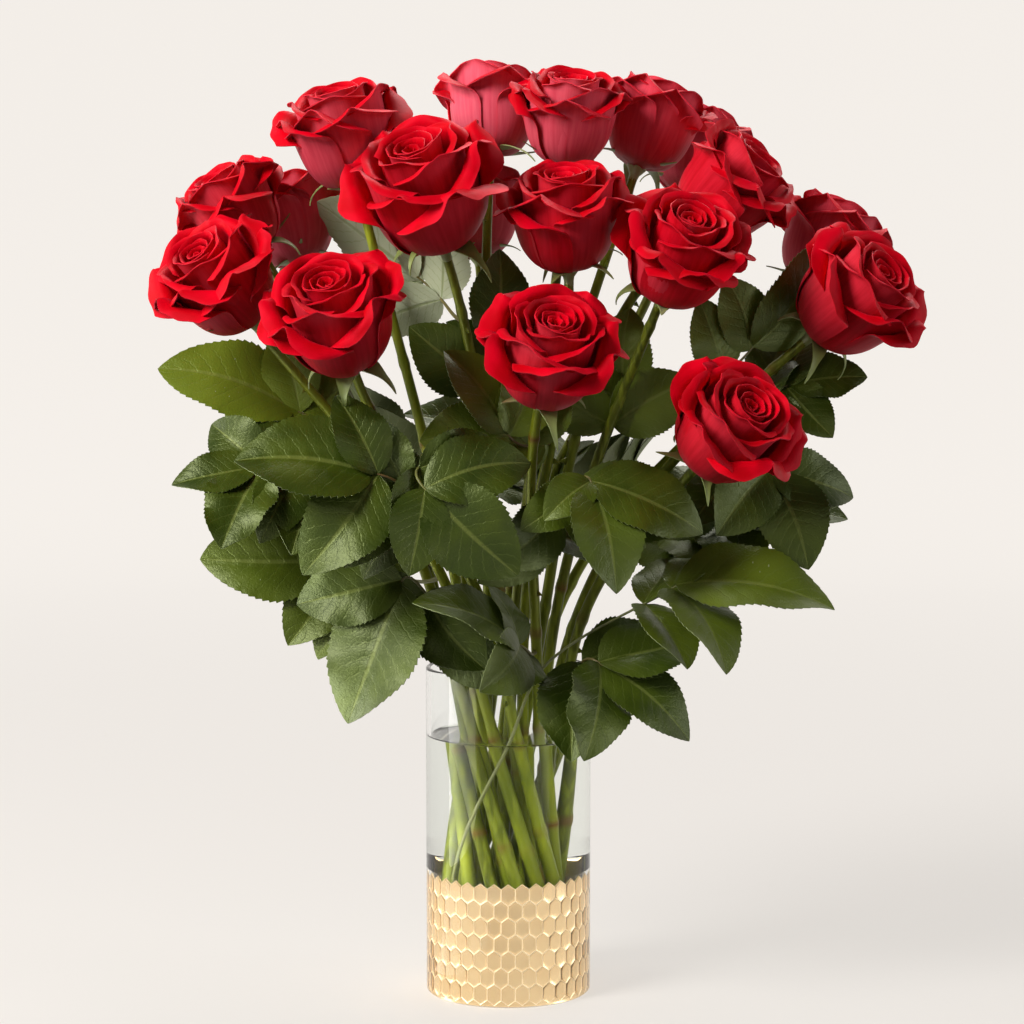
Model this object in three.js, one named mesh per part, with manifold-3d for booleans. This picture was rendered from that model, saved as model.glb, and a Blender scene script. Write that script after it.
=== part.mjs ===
// Eighteen cut roses standing in a clear glass cylinder with a honeycomb gold lining.
// Millimetres, +Z up. The origin is the middle of the vase's foot, and -Y is the front.
import * as THREE from 'three';
import { mergeVertices } from 'three/addons/utils/BufferGeometryUtils.js';
import Module from 'manifold-3d';

// Vase
const vaseHeight = 203;
const vaseRadius = 51;
const wall = 3;
const footThickness = 7;
const footEdge = 1.5;          // the rounding between the foot and the side
const innerCorner = 1.2;
const vaseSides = 48;

// Lining and water
const liningHeight = 68;
const liningThickness = 0.8;
const cellsAround = 36;
const scallop = 1.6;           // how far each cell's end stands past the notch beside it
const waterDepth = 153;

// Roses
const stemRadius = 3.7;
const bloomRadius = 38;
const bloomHeight = 68;
const stemTwist = 95;          // degrees between a stem's slot in the mouth and its foot
const mouthTurn = 33;          // degrees from the table's slots to the slots in the mouth
const footShrink = 0.95;
const stemSteps = 9;

// Leaves
const leafThickness = 1;
const stalkRadius = 1.2;
const stalkSteps = 4;
const sprigSteps = 9;
const bladeWidth = 0.73;       // of a leaflet's length
const sideSpread = 58;         // degrees between the middle leaflet and its neighbours
const pairSpacing = 20;        // between one pair of leaflets and the next

// What touches keeps this clearance
const gap = 0.3;

const innerRadius = vaseRadius - wall;
const innerFlat = innerRadius * Math.cos(Math.PI / vaseSides);
const liningOuter = innerFlat - gap;
const liningInner = liningOuter - liningThickness;
const liningBottom = footThickness + innerCorner + gap;
const liningTop = liningBottom + liningHeight;
const waterLevel = footThickness + waterDepth;
const slotRadius = innerRadius - gap - 1.2 * stemRadius;

// Where each flower's base stands, in bloom radii from the middle of the mouth (x, y, z),
// the way it faces (x, y, z), its size, and its stem's slot in the mouth as a share of
// the free radius (x, y).
const roses = [
  [[-2.42, 0.30, 7.72], [-0.22, -0.25, 0.94], 1.00, [-0.55, 0.10]],
  [[-1.02, -0.78, 6.78], [-0.25, -0.50, 0.83], 1.16, [-0.25, -0.35]],
  [[-0.30, 1.35, 8.25], [0.05, 0.24, 0.97], 0.90, [-0.03, 0.50]],
  [[0.95, 0.60, 8.10], [0.06, -0.30, 0.95], 0.90, [0.16, 0.13]],
  [[2.10, 1.25, 8.05], [0.32, 0.10, 0.94], 0.90, [0.35, 0.44]],
  [[2.95, 0.40, 7.10], [0.68, -0.25, 0.69], 1.00, [0.55, 0.12]],
  [[2.42, -1.00, 6.00], [0.27, -0.58, 0.77], 1.00, [0.43, -0.38]],
  [[0.95, -0.85, 6.40], [-0.05, -0.35, 0.94], 1.00, [0.05, -0.30]],
  [[-4.02, 0.40, 6.70], [-0.50, -0.20, 0.84], 0.88, [-0.88, 0.00]],
  [[-4.05, -0.80, 5.62], [-0.50, -0.50, 0.70], 0.98, [-0.76, -0.37]],
  [[-3.45, 1.45, 6.45], [-0.25, 0.25, 0.93], 0.90, [-0.67, 0.42]],
  [[-2.42, -1.65, 4.95], [-0.20, -0.58, 0.79], 1.05, [-0.51, -0.67]],
  [[0.50, -1.95, 4.45], [0.15, -0.62, 0.77], 1.00, [0.02, -0.72]],
  [[3.00, -1.75, 3.45], [0.45, -0.66, 0.60], 1.00, [0.55, -0.75]],
  [[4.92, 1.25, 6.15], [0.42, 0.15, 0.89], 0.90, [0.83, 0.39]],
  [[4.90, -0.20, 5.40], [0.62, -0.50, 0.60], 1.05, [0.85, -0.12]],
  [[-0.50, 2.35, 6.60], [-0.10, 0.30, 0.95], 0.90, [-0.28, 0.72]],
  [[3.00, 2.75, 7.65], [0.25, 0.30, 0.92], 0.90, [0.35, 0.83]],
];

// Each leaf: the stem it grows on (0 for the loose sprig that stands in the water), how
// high it leaves that stem and where its middle leaflet begins and ends, all in bloom
// radii from the middle of the mouth, the way its upper side faces, and the lengths of its
// side leaflets in millimetres, nearest pair first, left then right of the stalk.
const leaves = [
  [12, 2.65, [-2.10, -2.15, 3.30], [-4.20, -2.30, 3.50], [0.1, -0.95, 0.3], [74, 54, 60, 48, 56, 46]],
  [2, 3.30, [-1.20, -2.52, 3.02], [0.15, -2.52, 1.75], [0.0, -0.9, 0.4], [66, 52, 52, 52, 0, 38, 42, 42]],
  [13, 2.30, [1.30, -2.25, 3.10], [1.67, -3.04, 1.58], [0.2, -0.8, 0.6], [73, 39, 68, 44, 56, 56, 54, 54]],
  [10, 0.75, [-1.70, -1.60, 1.50], [-2.50, -2.10, -0.60], [-0.1, -0.9, 0.4], [0, 66, 59, 54, 56, 0]],
  [13, 0.35, [0.10, -1.62, 0.60], [-1.40, -2.50, 1.40], [0.0, -0.7, 0.7], [54, 44, 40, 0]],
  [0, 0, [2.65, -1.60, 1.50], [5.10, -1.85, 1.25], [0.1, -0.6, 0.8], [41, 74, 59, 59]],
  [14, 0.05, [1.50, -1.60, 0.22], [2.84, -1.91, -0.90], [0.3, -0.8, 0.5], [64, 64, 67, 67]],
  [9, 3.70, [-3.45, 0.00, 4.15], [-5.65, 0.00, 4.81], [0.0, -0.9, 0.4], [68, 55, 68, 44, 56, 0]],
  [10, 3.00, [-4.00, -1.05, 3.30], [-5.30, -1.20, 3.05], [-0.1, -0.8, 0.6], [62, 46, 54, 48, 56, 38]],
  [10, 1.55, [-2.75, -0.30, 1.75], [-4.95, -0.41, 1.75], [0.0, -0.9, 0.4], [64, 61, 67, 67, 56, 46]],
  [16, 2.60, [4.20, -0.65, 3.15], [4.75, -1.14, 1.69], [0.3, -0.9, 0.3], [57, 57, 44, 57, 56, 56]],
  [16, 4.10, [4.60, 0.30, 4.55], [5.82, 0.24, 4.67], [0.2, -0.8, 0.6], [42, 47, 57, 44, 0, 46]],
  [6, 4.80, [3.95, 0.00, 5.20], [5.08, 0.27, 6.85], [0.2, -0.9, -0.3], [50, 0, 50, 0]],
  [2, 5.60, [-1.50, 0.90, 6.30], [-3.15, 1.01, 7.51], [0.0, 0.9, 0.4], [56, 51, 56, 56]],
  [2, 4.50, [-0.25, 0.35, 5.10], [-0.13, 0.53, 6.75], [0.2, -0.9, 0.3], [36, 52, 59, 59]],
  [8, 3.65, [-0.05, -1.30, 3.90], [-0.97, -1.30, 5.18], [0.0, -0.8, 0.6], [56, 56, 56, 46, 56, 0, 54, 0]],
  [7, 3.90, [1.90, 0.25, 4.40], [1.96, 0.31, 5.80], [0.0, -0.95, 0.3], [44, 31, 57, 57]],
  [15, 2.15, [3.30, 0.15, 2.45], [5.50, 0.00, 2.40], [0.0, -0.5, 0.9], [64, 69, 67, 67, 56, 56]],
  [11, 2.50, [-2.10, 1.95, 3.22], [-3.69, 2.63, 4.05], [0.0, 0.7, 0.7], [67, 67, 64, 64, 0, 56, 0, 54]],
  [17, 2.80, [-0.15, 2.25, 3.35], [-0.58, 3.77, 4.02], [0.0, 0.5, 0.9], [69, 69, 67, 67, 0, 56]],
  [18, 2.50, [2.10, 2.00, 3.10], [3.32, 3.22, 4.08], [0.2, 0.7, 0.7], [69, 69, 67, 67, 56, 56, 54, 54]],
];

// The sprig's way down through the mouth and the water: shares of the free radius (x, y)
// and heights as shares of the vase's.
const sprigRoute = [[-0.78, -0.38, 0.06], [-0.62, -0.68, 0.45], [0.02, -0.88, 0.80], [0.46, -0.80, 1.02]];

const wasm = await Module();
wasm.setup();

// Joins the shared vertices of a closed surface and drops the faces that vanish at a pole.
function closed(geometry) {
  const bare = geometry.clone();
  bare.deleteAttribute('normal');
  bare.deleteAttribute('uv');
  bare.clearGroups();
  const merged = mergeVertices(bare, 1e-3);
  const index = merged.index.array;
  const kept = [];
  for (let i = 0; i < index.length; i += 3) {
    const [a, b, c] = [index[i], index[i + 1], index[i + 2]];
    if (a !== b && b !== c && c !== a) kept.push(a, b, c);
  }
  merged.setIndex(kept);
  return merged;
}

function toSolid(geometry) {
  const g = closed(geometry);
  return new wasm.Manifold(new wasm.Mesh({
    numProp: 3,
    vertProperties: new Float32Array(g.attributes.position.array),
    triVerts: new Uint32Array(g.index.array),
  }));
}

function fromSolid(solid) {
  const mesh = solid.getMesh();
  const g = new THREE.BufferGeometry();
  g.setAttribute('position', new THREE.BufferAttribute(new Float32Array(mesh.vertProperties), 3));
  g.setIndex(Array.from(mesh.triVerts));
  return g;
}

function lathe(profile, sides) {
  const points = profile.map(([r, z]) => new THREE.Vector2(r, z));
  const g = new THREE.LatheGeometry(points, sides);
  return g.rotateX(Math.PI / 2);
}

function ring(profile, sides) {
  return lathe([...profile, profile[0]], sides);
}

// A round bar along a path.
function bar(path, radius, sides, steps) {
  const outline = [];
  for (let i = 0; i < sides; i += 1) {
    const a = (2 * Math.PI * i) / sides;
    outline.push(new THREE.Vector2(radius * Math.cos(a), radius * Math.sin(a)));
  }
  const options = { steps, bevelEnabled: false, extrudePath: path };
  return new THREE.ExtrudeGeometry(new THREE.Shape(outline), options);
}

function crown([x, y, z]) {
  const p = new THREE.Vector3(x, y, z).multiplyScalar(bloomRadius);
  p.z += vaseHeight;
  return p;
}

function turned([x, y], degrees) {
  const v = new THREE.Vector2(x, y).multiplyScalar(slotRadius);
  return v.rotateAround(new THREE.Vector2(), THREE.MathUtils.degToRad(degrees));
}

// ---- Vase, lining and water ----

function vaseGeometry() {
  const rim = wall / 3;
  return lathe([
    [0, 0],
    [vaseRadius - footEdge, 0],
    [vaseRadius, footEdge],
    [vaseRadius, vaseHeight - rim],
    [vaseRadius - rim, vaseHeight],
    [innerRadius + rim, vaseHeight],
    [innerRadius, vaseHeight - rim],
    [innerRadius, footThickness + innerCorner],
    [innerRadius - innerCorner, footThickness],
    [0, footThickness],
  ], vaseSides);
}

// A thin sleeve whose two edges follow the ends of the honeycomb's outermost cells.
function liningGeometry() {
  const sides = 2 * cellsAround;
  const g = ring([
    [liningInner, liningBottom],
    [liningOuter, liningBottom],
    [liningOuter, liningTop],
    [liningInner, liningTop],
  ], sides);
  const p = g.attributes.position;
  for (let i = 0; i < p.count; i += 1) {
    const turn = Math.atan2(p.getY(i), p.getX(i)) / (2 * Math.PI);
    const notch = Math.round(turn * sides + sides) % 2;
    const up = p.getZ(i) > (liningBottom + liningTop) / 2 ? -1 : 1;
    p.setZ(i, p.getZ(i) + up * notch * scallop);
  }
  return g;
}

function waterSolid() {
  const narrow = liningInner * Math.cos(Math.PI / (2 * cellsAround)) - gap;
  const bottom = footThickness + gap;
  const step = Math.min(liningTop + gap, waterLevel - wall);
  return toSolid(lathe([
    [0, bottom],
    [narrow, bottom],
    [narrow, step],
    [innerRadius - gap, step],
    [innerRadius - gap, waterLevel],
    [0, waterLevel],
  ], vaseSides));
}

// ---- Stems ----

// A stem runs straight from its foot through the mouth and then bends over to its flower.
function stemRoute([at, facing, , slot]) {
  const mouth = turned(slot, mouthTurn);
  const foot = turned(slot, mouthTurn + stemTwist).multiplyScalar(footShrink);
  const lift = footThickness + gap + 0.6 * stemRadius;
  const low = new THREE.Vector3(foot.x, foot.y, lift);
  const top = new THREE.Vector3(mouth.x, mouth.y, vaseHeight);
  const base = crown(at);
  const axis = new THREE.Vector3(...facing).normalize();
  const reach = base.distanceTo(top);
  const along = top.clone().sub(low).normalize();
  const end = base.clone().addScaledVector(axis, -gap);
  const route = new THREE.CurvePath();
  route.add(new THREE.LineCurve3(low, top));
  route.add(new THREE.CubicBezierCurve3(
    top,
    top.clone().addScaledVector(along, 0.42 * reach),
    end.clone().addScaledVector(axis, -0.38 * reach),
    end,
  ));
  return { route, low, top, along, base, axis };
}

function stemGeometry({ route }) {
  return bar(route, stemRadius, 6, stemSteps);
}

// The way a stem takes up in the water, open at both ends of the water.
function stemTunnel({ low, top, along }) {
  const from = low.clone().addScaledVector(along, -3 * stemRadius);
  return toSolid(bar(new THREE.LineCurve3(from, top), stemRadius + 1.5 * gap, 6, 1));
}

// ---- Flowers ----

// A flower's outline as shares of its radius and height, with how far the five petals of
// that ring stand out and up.
const bloomProfile = [
  [0.00, 0.00, 0.00, 0.00],
  [0.14, 0.00, 0.00, 0.00],
  [0.34, 0.05, 0.48, -0.03],
  [0.24, 0.09, 0.00, 0.00],
  [0.60, 0.21, 0.04, 0.00],
  [0.79, 0.60, 0.06, 0.00],
  [1.00, 0.87, 0.10, -0.03],
  [0.80, 0.92, 0.08, -0.02],
  [0.60, 0.76, -0.08, 0.00],
  [0.45, 0.97, -0.10, 0.02],
  [0.20, 0.86, 0.10, 0.00],
  [0.00, 0.93, 0.00, 0.00],
];

function bloomGeometry(size) {
  const g = lathe(bloomProfile.map(([r, z]) => [r, z]), 10);
  const p = g.attributes.position;
  const rows = bloomProfile.length;
  for (let i = 0; i < p.count; i += 1) {
    const row = i % rows;
    const [, , out, up] = bloomProfile[row];
    const petal = Math.floor(i / rows) % 2 === 0 ? 1 : -1;
    const wide = bloomRadius * size * (1 + petal * out);
    const x = p.getX(i) * wide;
    const y = p.getY(i) * wide;
    p.setXYZ(i, x, y, (p.getZ(i) + petal * up) * bloomHeight * size);
  }
  return g;
}

// ---- Leaves ----

// One leaflet: a thin plate, arched from base to tip.
function bladeGeometry(from, to, face) {
  const along = to.clone().sub(from);
  const length = along.length();
  along.normalize();
  const up = face.clone().addScaledVector(along, -face.dot(along)).normalize();
  const side = along.clone().cross(up);
  const widths = [0.03, 0.92, 0.86, 0.03];
  const g = new THREE.BoxGeometry(1, 1, leafThickness, 1, 3, 1);
  const p = g.attributes.position;
  for (let i = 0; i < p.count; i += 1) {
    const s = p.getY(i) + 0.5;
    const half = p.getX(i) * bladeWidth * length * widths[Math.round(3 * s)];
    const rise = 0.3 * length * (s - s * s) + p.getZ(i);
    const at = from.clone().addScaledVector(along, s * length);
    at.addScaledVector(side, half).addScaledVector(up, rise);
    p.setXYZ(i, at.x, at.y, at.z);
  }
  return g;
}

// The point of a stem's middle line at a height.
function stemAt(stem, height) {
  const points = stem.route.getSpacedPoints(stemSteps);
  for (let i = 0; i < stemSteps; i += 1) {
    const [a, b] = [points[i], points[i + 1]];
    if (height <= b.z || i === stemSteps - 1) {
      const along = b.clone().sub(a).normalize();
      return { at: a.clone().lerp(b, (height - a.z) / (b.z - a.z)), along };
    }
  }
  return null;
}

function stalkFrom(stem, height, to, direction) {
  const { at, along } = stemAt(stem, vaseHeight + height * bloomRadius);
  const out = to.clone().sub(at);
  const reach = out.length();
  out.addScaledVector(along, -out.dot(along)).normalize();
  const start = at.clone().addScaledVector(out, stemRadius + gap);
  return new THREE.CubicBezierCurve3(
    start,
    start.clone().addScaledVector(out, 0.3 * reach),
    to.clone().addScaledVector(direction, -0.4 * reach),
    to,
  );
}

function sprigStalk(to) {
  const points = sprigRoute.map(([x, y, z]) => {
    const v = new THREE.Vector2(x, y).multiplyScalar(innerRadius - 2 * gap - stalkRadius);
    return new THREE.Vector3(v.x, v.y, z * vaseHeight);
  });
  return new THREE.CatmullRomCurve3([...points, to], false, 'centripetal');
}

// The place a given length before the end of a line of points.
function backAlong(points, length) {
  let left = length;
  for (let i = points.length - 1; i > 0; i -= 1) {
    const run = points[i].distanceTo(points[i - 1]);
    if (left <= run) return points[i].clone().lerp(points[i - 1], left / run);
    left -= run;
  }
  return points[0].clone();
}

// The way the sprig takes up in the water, open below its cut end.
function sprigTunnel(to) {
  const stalk = sprigStalk(to);
  const radius = stalkRadius + 1.5 * gap;
  const end = stalk.getPoint(0);
  const way = stalk.getTangent(0);
  const below = end.clone().addScaledVector(way, -2 * footThickness);
  const above = end.clone().addScaledVector(way, stalkRadius);
  const mouth = toSolid(bar(new THREE.LineCurve3(below, above), radius, 5, 1));
  return toSolid(bar(stalk, radius, 5, sprigSteps)).add(mouth);
}

function leafGeometry([stem, height, from, tip, facing, sides], stems) {
  const start = crown(from);
  const end = crown(tip);
  const direction = end.clone().sub(start).normalize();
  const face = new THREE.Vector3(...facing).normalize();
  const up = face.clone().addScaledVector(direction, -face.dot(direction)).normalize();
  const sprig = stem === 0;
  const stalk = sprig ? sprigStalk(start) : stalkFrom(stems[stem - 1], height, start, direction);
  const steps = sprig ? sprigSteps : stalkSteps;
  let leaf = toSolid(bar(stalk, stalkRadius, 5, steps));
  leaf = leaf.add(toSolid(bladeGeometry(start.clone().addScaledVector(direction, -1), end, up)));
  sides.forEach((span, i) => {
    if (!span) return;
    const at = backAlong(stalk.getSpacedPoints(steps), 4 + pairSpacing * Math.floor(i / 2));
    const turn = THREE.MathUtils.degToRad(i % 2 === 0 ? sideSpread : -sideSpread);
    const way = direction.clone().applyAxisAngle(up, turn);
    leaf = leaf.add(toSolid(bladeGeometry(at, at.clone().addScaledVector(way, span), up)));
  });
  return fromSolid(leaf);
}

// ---- The whole ----

const glass = new THREE.MeshStandardMaterial({ color: 0xe9eceb, roughness: 0.03, metalness: 0 });
const gold = new THREE.MeshStandardMaterial({ color: 0xd9bb86, roughness: 0.22, metalness: 1 });
const liquid = new THREE.MeshStandardMaterial({ color: 0xdfe4dc, roughness: 0.02, metalness: 0 });
const stalks = new THREE.MeshStandardMaterial({ color: 0x86952f, roughness: 0.45, metalness: 0 });
const petals = new THREE.MeshStandardMaterial({ color: 0xb5061c, roughness: 0.5, metalness: 0 });
const foliage = new THREE.MeshStandardMaterial({ color: 0x33491f, roughness: 0.4, metalness: 0 });

const group = new THREE.Group();

function add(name, geometry, material) {
  const mesh = new THREE.Mesh(closed(geometry), material);
  mesh.name = name;
  group.add(mesh);
  return mesh;
}

function numbered(name, i) {
  return `${name}_${String(i + 1).padStart(2, '0')}`;
}

const stems = roses.map(stemRoute);

add('vase', vaseGeometry(), glass);
add('gold_lining', liningGeometry(), gold);

let water = waterSolid();
stems.forEach((stem) => {
  water = water.subtract(stemTunnel(stem));
});
leaves.filter(([stem]) => stem === 0).forEach(([, , from]) => {
  water = water.subtract(sprigTunnel(crown(from)));
});
add('water', fromSolid(water), liquid);

stems.forEach((stem, i) => add(numbered('stem', i), stemGeometry(stem), stalks));

stems.forEach((stem, i) => {
  const bloom = add(numbered('bloom', i), bloomGeometry(roses[i][2]), petals);
  bloom.position.copy(stem.base);
  bloom.quaternion.setFromUnitVectors(new THREE.Vector3(0, 0, 1), stem.axis);
});

leaves.forEach((leaf, i) => add(numbered('leaf', i), leafGeometry(leaf, stems), foliage));

export default group;
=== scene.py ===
# %% [markdown]
# # Eighteen red roses in a glass cylinder with a gold honeycomb foot
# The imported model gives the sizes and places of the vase, stems, blooms and leaves.
# This lesson builds the pieces that are seen around it: real petals, serrated leaves,
# thorny stems, polished glass, water and the embossed lining, with a plain gold dish under
# it and a calyx under each flower.
# Every piece is a closed mesh in metres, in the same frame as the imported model.

# %% Load the frame
import math

import bpy
import numpy as np
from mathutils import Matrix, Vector


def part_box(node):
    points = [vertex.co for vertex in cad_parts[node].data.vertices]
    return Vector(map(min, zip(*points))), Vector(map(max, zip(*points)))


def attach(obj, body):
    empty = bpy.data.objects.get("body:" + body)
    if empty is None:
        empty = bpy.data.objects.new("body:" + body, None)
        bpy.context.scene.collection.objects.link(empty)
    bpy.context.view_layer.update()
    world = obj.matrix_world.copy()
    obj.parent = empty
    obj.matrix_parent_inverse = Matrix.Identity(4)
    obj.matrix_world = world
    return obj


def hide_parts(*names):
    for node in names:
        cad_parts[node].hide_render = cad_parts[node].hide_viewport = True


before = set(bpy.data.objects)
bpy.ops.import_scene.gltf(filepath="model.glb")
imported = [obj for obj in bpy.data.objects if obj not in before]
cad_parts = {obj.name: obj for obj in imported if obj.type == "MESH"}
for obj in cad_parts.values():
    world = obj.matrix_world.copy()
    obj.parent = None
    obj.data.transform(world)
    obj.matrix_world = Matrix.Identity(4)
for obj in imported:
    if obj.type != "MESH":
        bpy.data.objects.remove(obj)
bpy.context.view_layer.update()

mm = 0.001

# %% [markdown]
# ## The studio
# The bouquet stands on a pale sheet that sweeps up into a wall, as in a small studio.
# A flat plane would show a horizon, so the sheet is a shallow bowl, turned round the
# vertical axis: its shape is the same from every side. The paper mostly glows by itself,
# brighter further off, with a painted shade that makes it dimmer on the floor in front of
# the vase, and its glow doesn't light the bouquet. Four soft lights do that, with a faint
# even light from all round. Four more lights are cards that are seen only as reflections:
# polished glass and gold look dull with nothing bright to mirror, and a card gives them
# that without lighting the rest.

# %% Camera
camera_data = bpy.data.cameras.new("camera")
camera_data.lens = 98.8
camera_data.sensor_width = 36
camera = bpy.data.objects.new("camera", camera_data)
camera.location = (0.0023, -1.722, 0.455)
camera.rotation_euler = (math.radians(90 - 5.2), 0, 0)
bpy.context.scene.collection.objects.link(camera)
bpy.context.scene.camera = camera
bpy.context.scene.view_settings.view_transform = "Standard"

# %% Mesh helpers
SEED = 7


def mesh_object(name, vertices, faces, materials, smooth=True, face_material=None):
    """A mesh object from arrays, with its materials in order."""
    mesh = bpy.data.meshes.new(name)
    mesh.from_pydata([tuple(v) for v in vertices], [], [tuple(f) for f in faces])
    for material in materials:
        mesh.materials.append(material)
    if face_material is not None:
        mesh.polygons.foreach_set("material_index", np.asarray(face_material, np.int32))
    mesh.polygons.foreach_set("use_smooth", np.full(len(mesh.polygons), smooth))
    mesh.update()
    piece = bpy.data.objects.new(name, mesh)
    bpy.context.scene.collection.objects.link(piece)
    return piece


def firm(profile):
    """Adds a point near both ends of each long straight, so that it shades flat."""
    near, long = 0.3 * mm, 3 * mm
    points = [profile[0]]
    for (r, z), (u, w) in zip(profile, profile[1:]):
        run = math.hypot(u - r, w - z)
        if run > long:
            for share in (near / run, 1 - near / run):
                points.append((r + (u - r) * share, z + (w - z) * share))
        points.append((u, w))
    return points


def lathe(name, profile, sides, materials):
    """Turns a profile of (radius, height) points that starts and ends on the axis."""
    profile = firm(profile)
    angles = np.arange(sides) * 2 * math.pi / sides
    inner = profile[1:-1]
    vertices = [(0, 0, profile[0][1]), (0, 0, profile[-1][1])]
    for r, z in inner:
        vertices += [(r * math.cos(a), r * math.sin(a), z) for a in angles]
    faces = []
    for k in range(sides):
        n = (k + 1) % sides
        faces.append((0, 2 + n, 2 + k))
        for row in range(len(inner) - 1):
            a = 2 + row * sides
            faces.append((a + k, a + n, a + sides + n, a + sides + k))
        a = 2 + (len(inner) - 1) * sides
        faces.append((a + k, a + n, 1))
    piece = mesh_object(name, vertices, faces, materials)
    piece.data.set_sharp_from_angle(angle=math.radians(40))
    return piece


def rounded(centre, radius, start, end, steps):
    """Points of an arc in the (radius, height) plane, angles in degrees."""
    turn = np.radians(np.linspace(start, end, steps))
    return [(centre[0] + radius * math.cos(a), centre[1] + radius * math.sin(a)) for a in turn]


# %% Material helpers
def new_material(name, **sockets):
    """A Principled material with constant values on the shader's own sockets."""
    material = bpy.data.materials.new(name)
    material.use_nodes = True
    shader = material.node_tree.nodes["Principled BSDF"]
    for socket, value in sockets.items():
        shader.inputs[socket.replace("_", " ")].default_value = value
    return material, material.node_tree, shader


def add_node(tree, kind, **values):
    """Adds a node, setting properties by name and sockets by number (i0, i1, ...)."""
    node = tree.nodes.new(kind)
    for key, value in values.items():
        if key[0] == "i" and key[1:].isdigit():
            node.inputs[int(key[1:])].default_value = value
        else:
            setattr(node, key, value)
    return node


def wire(tree, value, socket):
    """Links a socket, or sets a plain value."""
    if hasattr(value, "is_linked"):
        tree.links.new(value, socket)
    else:
        socket.default_value = value


def mix_colour(tree, factor, first, second):
    """Mixes two colours, each a value or a socket, by a factor."""
    node = tree.nodes.new("ShaderNodeMix")
    node.data_type = "RGBA"
    for number, value in ((0, factor), (6, first), (7, second)):
        wire(tree, value, node.inputs[number])
    return node.outputs[2]


def ramp(tree, value, low, high):
    """Maps a value from low..high to 0..1 with soft ends."""
    node = tree.nodes.new("ShaderNodeMapRange")
    node.interpolation_type = "SMOOTHSTEP"
    node.inputs["From Min"].default_value = low
    node.inputs["From Max"].default_value = high
    tree.links.new(value, node.inputs["Value"])
    return node.outputs["Result"]


def math_node(tree, operation, *values):
    """A Math node on sockets or numbers, for materials and for geometry."""
    node = tree.nodes.new("ShaderNodeMath")
    node.operation = operation
    for socket, value in zip(node.inputs, values):
        wire(tree, value, socket)
    return node.outputs[0]


def noise(tree, scale, vector):
    """The strength of a noise pattern of this scale."""
    node = add_node(tree, "ShaderNodeTexNoise", i2=scale)
    tree.links.new(vector, node.inputs["Vector"])
    return node.outputs["Fac"]


def attribute(tree, name):
    """A number that the mesh carries at its points."""
    return add_node(tree, "ShaderNodeAttribute", attribute_name=name).outputs["Fac"]


def off_middle(tree, across):
    """0 on the middle line of a sheet, 1 at both edges, from its u coordinate."""
    distance = math_node(tree, "ABSOLUTE", math_node(tree, "SUBTRACT", across, 0.5))
    return math_node(tree, "MULTIPLY", distance, 2)


def add_bump(tree, shader, height, strength, distance):
    """Fine relief on a finish."""
    bump = add_node(tree, "ShaderNodeBump")
    bump.inputs["Strength"].default_value = strength
    bump.inputs["Distance"].default_value = distance
    tree.links.new(height, bump.inputs["Height"])
    tree.links.new(bump.outputs["Normal"], shader.inputs["Normal"])


# %% Sheet that sweeps up into a wall
def sweep_material():
    """Lit paper: mostly its own glow, brighter further off, and dimmed on the floor in front by a painted
    shade.
    """
    material, tree, shader = new_material(
        "studio_paper", Roughness=0.95, Base_Color=(0.26, 0.25, 0.24, 1), Specular_IOR_Level=0.0,
        Emission_Color=(0.905, 0.863, 0.815, 1))
    place = add_node(tree, "ShaderNodeTexCoord")
    length = add_node(tree, "ShaderNodeVectorMath", operation="LENGTH")
    tree.links.new(place.outputs["Object"], length.inputs[0])
    far = ramp(tree, length.outputs["Value"], 0.3, 2.6)
    split = add_node(tree, "ShaderNodeSeparateXYZ")
    tree.links.new(place.outputs["Object"], split.inputs[0])
    front = ramp(tree, split.outputs[1], -0.10, -0.42)
    near = ramp(tree, length.outputs["Value"], 1.9, 0.9)
    glow = math_node(tree, "MULTIPLY_ADD", far, 0.27, 0.63)
    # Painted shade: the glow is dimmed on the floor in front of the vase.
    shade = math_node(tree, "MULTIPLY_ADD", math_node(tree, "MULTIPLY", front, near), -0.36, 1.0)
    tree.links.new(math_node(tree, "MULTIPLY", glow, shade), shader.inputs["Emission Strength"])
    return material


def build_sweep():
    """A flat floor that bends up into a round wall."""
    floor_radius, bend, top = 2.1, 0.9, 2.6
    profile = [(0.0, 0.0), (0.3, 0.0), (0.8, 0.0), (1.4, 0.0)]
    profile += rounded((floor_radius, bend), bend, -90, 0, 14)
    profile += [(floor_radius + bend, top)]
    sides = 96
    angles = np.arange(sides) * 2 * math.pi / sides
    vertices = [(0, 0, 0)]
    for r, z in profile[1:]:
        vertices += [(r * math.cos(a), r * math.sin(a), z) for a in angles]
    faces = []
    for k in range(sides):
        n = (k + 1) % sides
        faces.append((0, 1 + k, 1 + n))
        for row in range(len(profile) - 2):
            a = 1 + row * sides
            faces.append((a + n, a + k, a + sides + k, a + sides + n))
    return mesh_object("studio_sweep", vertices, faces, [sweep_material()])


sweep = build_sweep()
sweep.visible_diffuse = False


# %% Lights
def softbox(name, place, aim, size, power, colour):
    """A rectangular soft light, facing a point of the bouquet."""
    data = bpy.data.lights.new(name, "AREA")
    data.shape = "RECTANGLE"
    data.size, data.size_y = size
    data.energy = power
    data.color = colour
    light = bpy.data.objects.new(name, data)
    light.location = place
    light.rotation_euler = (Vector(aim) - Vector(place)).to_track_quat("-Z", "Y").to_euler()
    bpy.context.scene.collection.objects.link(light)
    return light


def reflector(name, place, aim, size, power):
    """A card that is only seen as a reflection in glossy pieces."""
    light = softbox(name, place, aim, size, power, (1.0, 0.99, 0.98))
    light.visible_camera = False
    light.visible_diffuse = False
    light.visible_transmission = False


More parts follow.
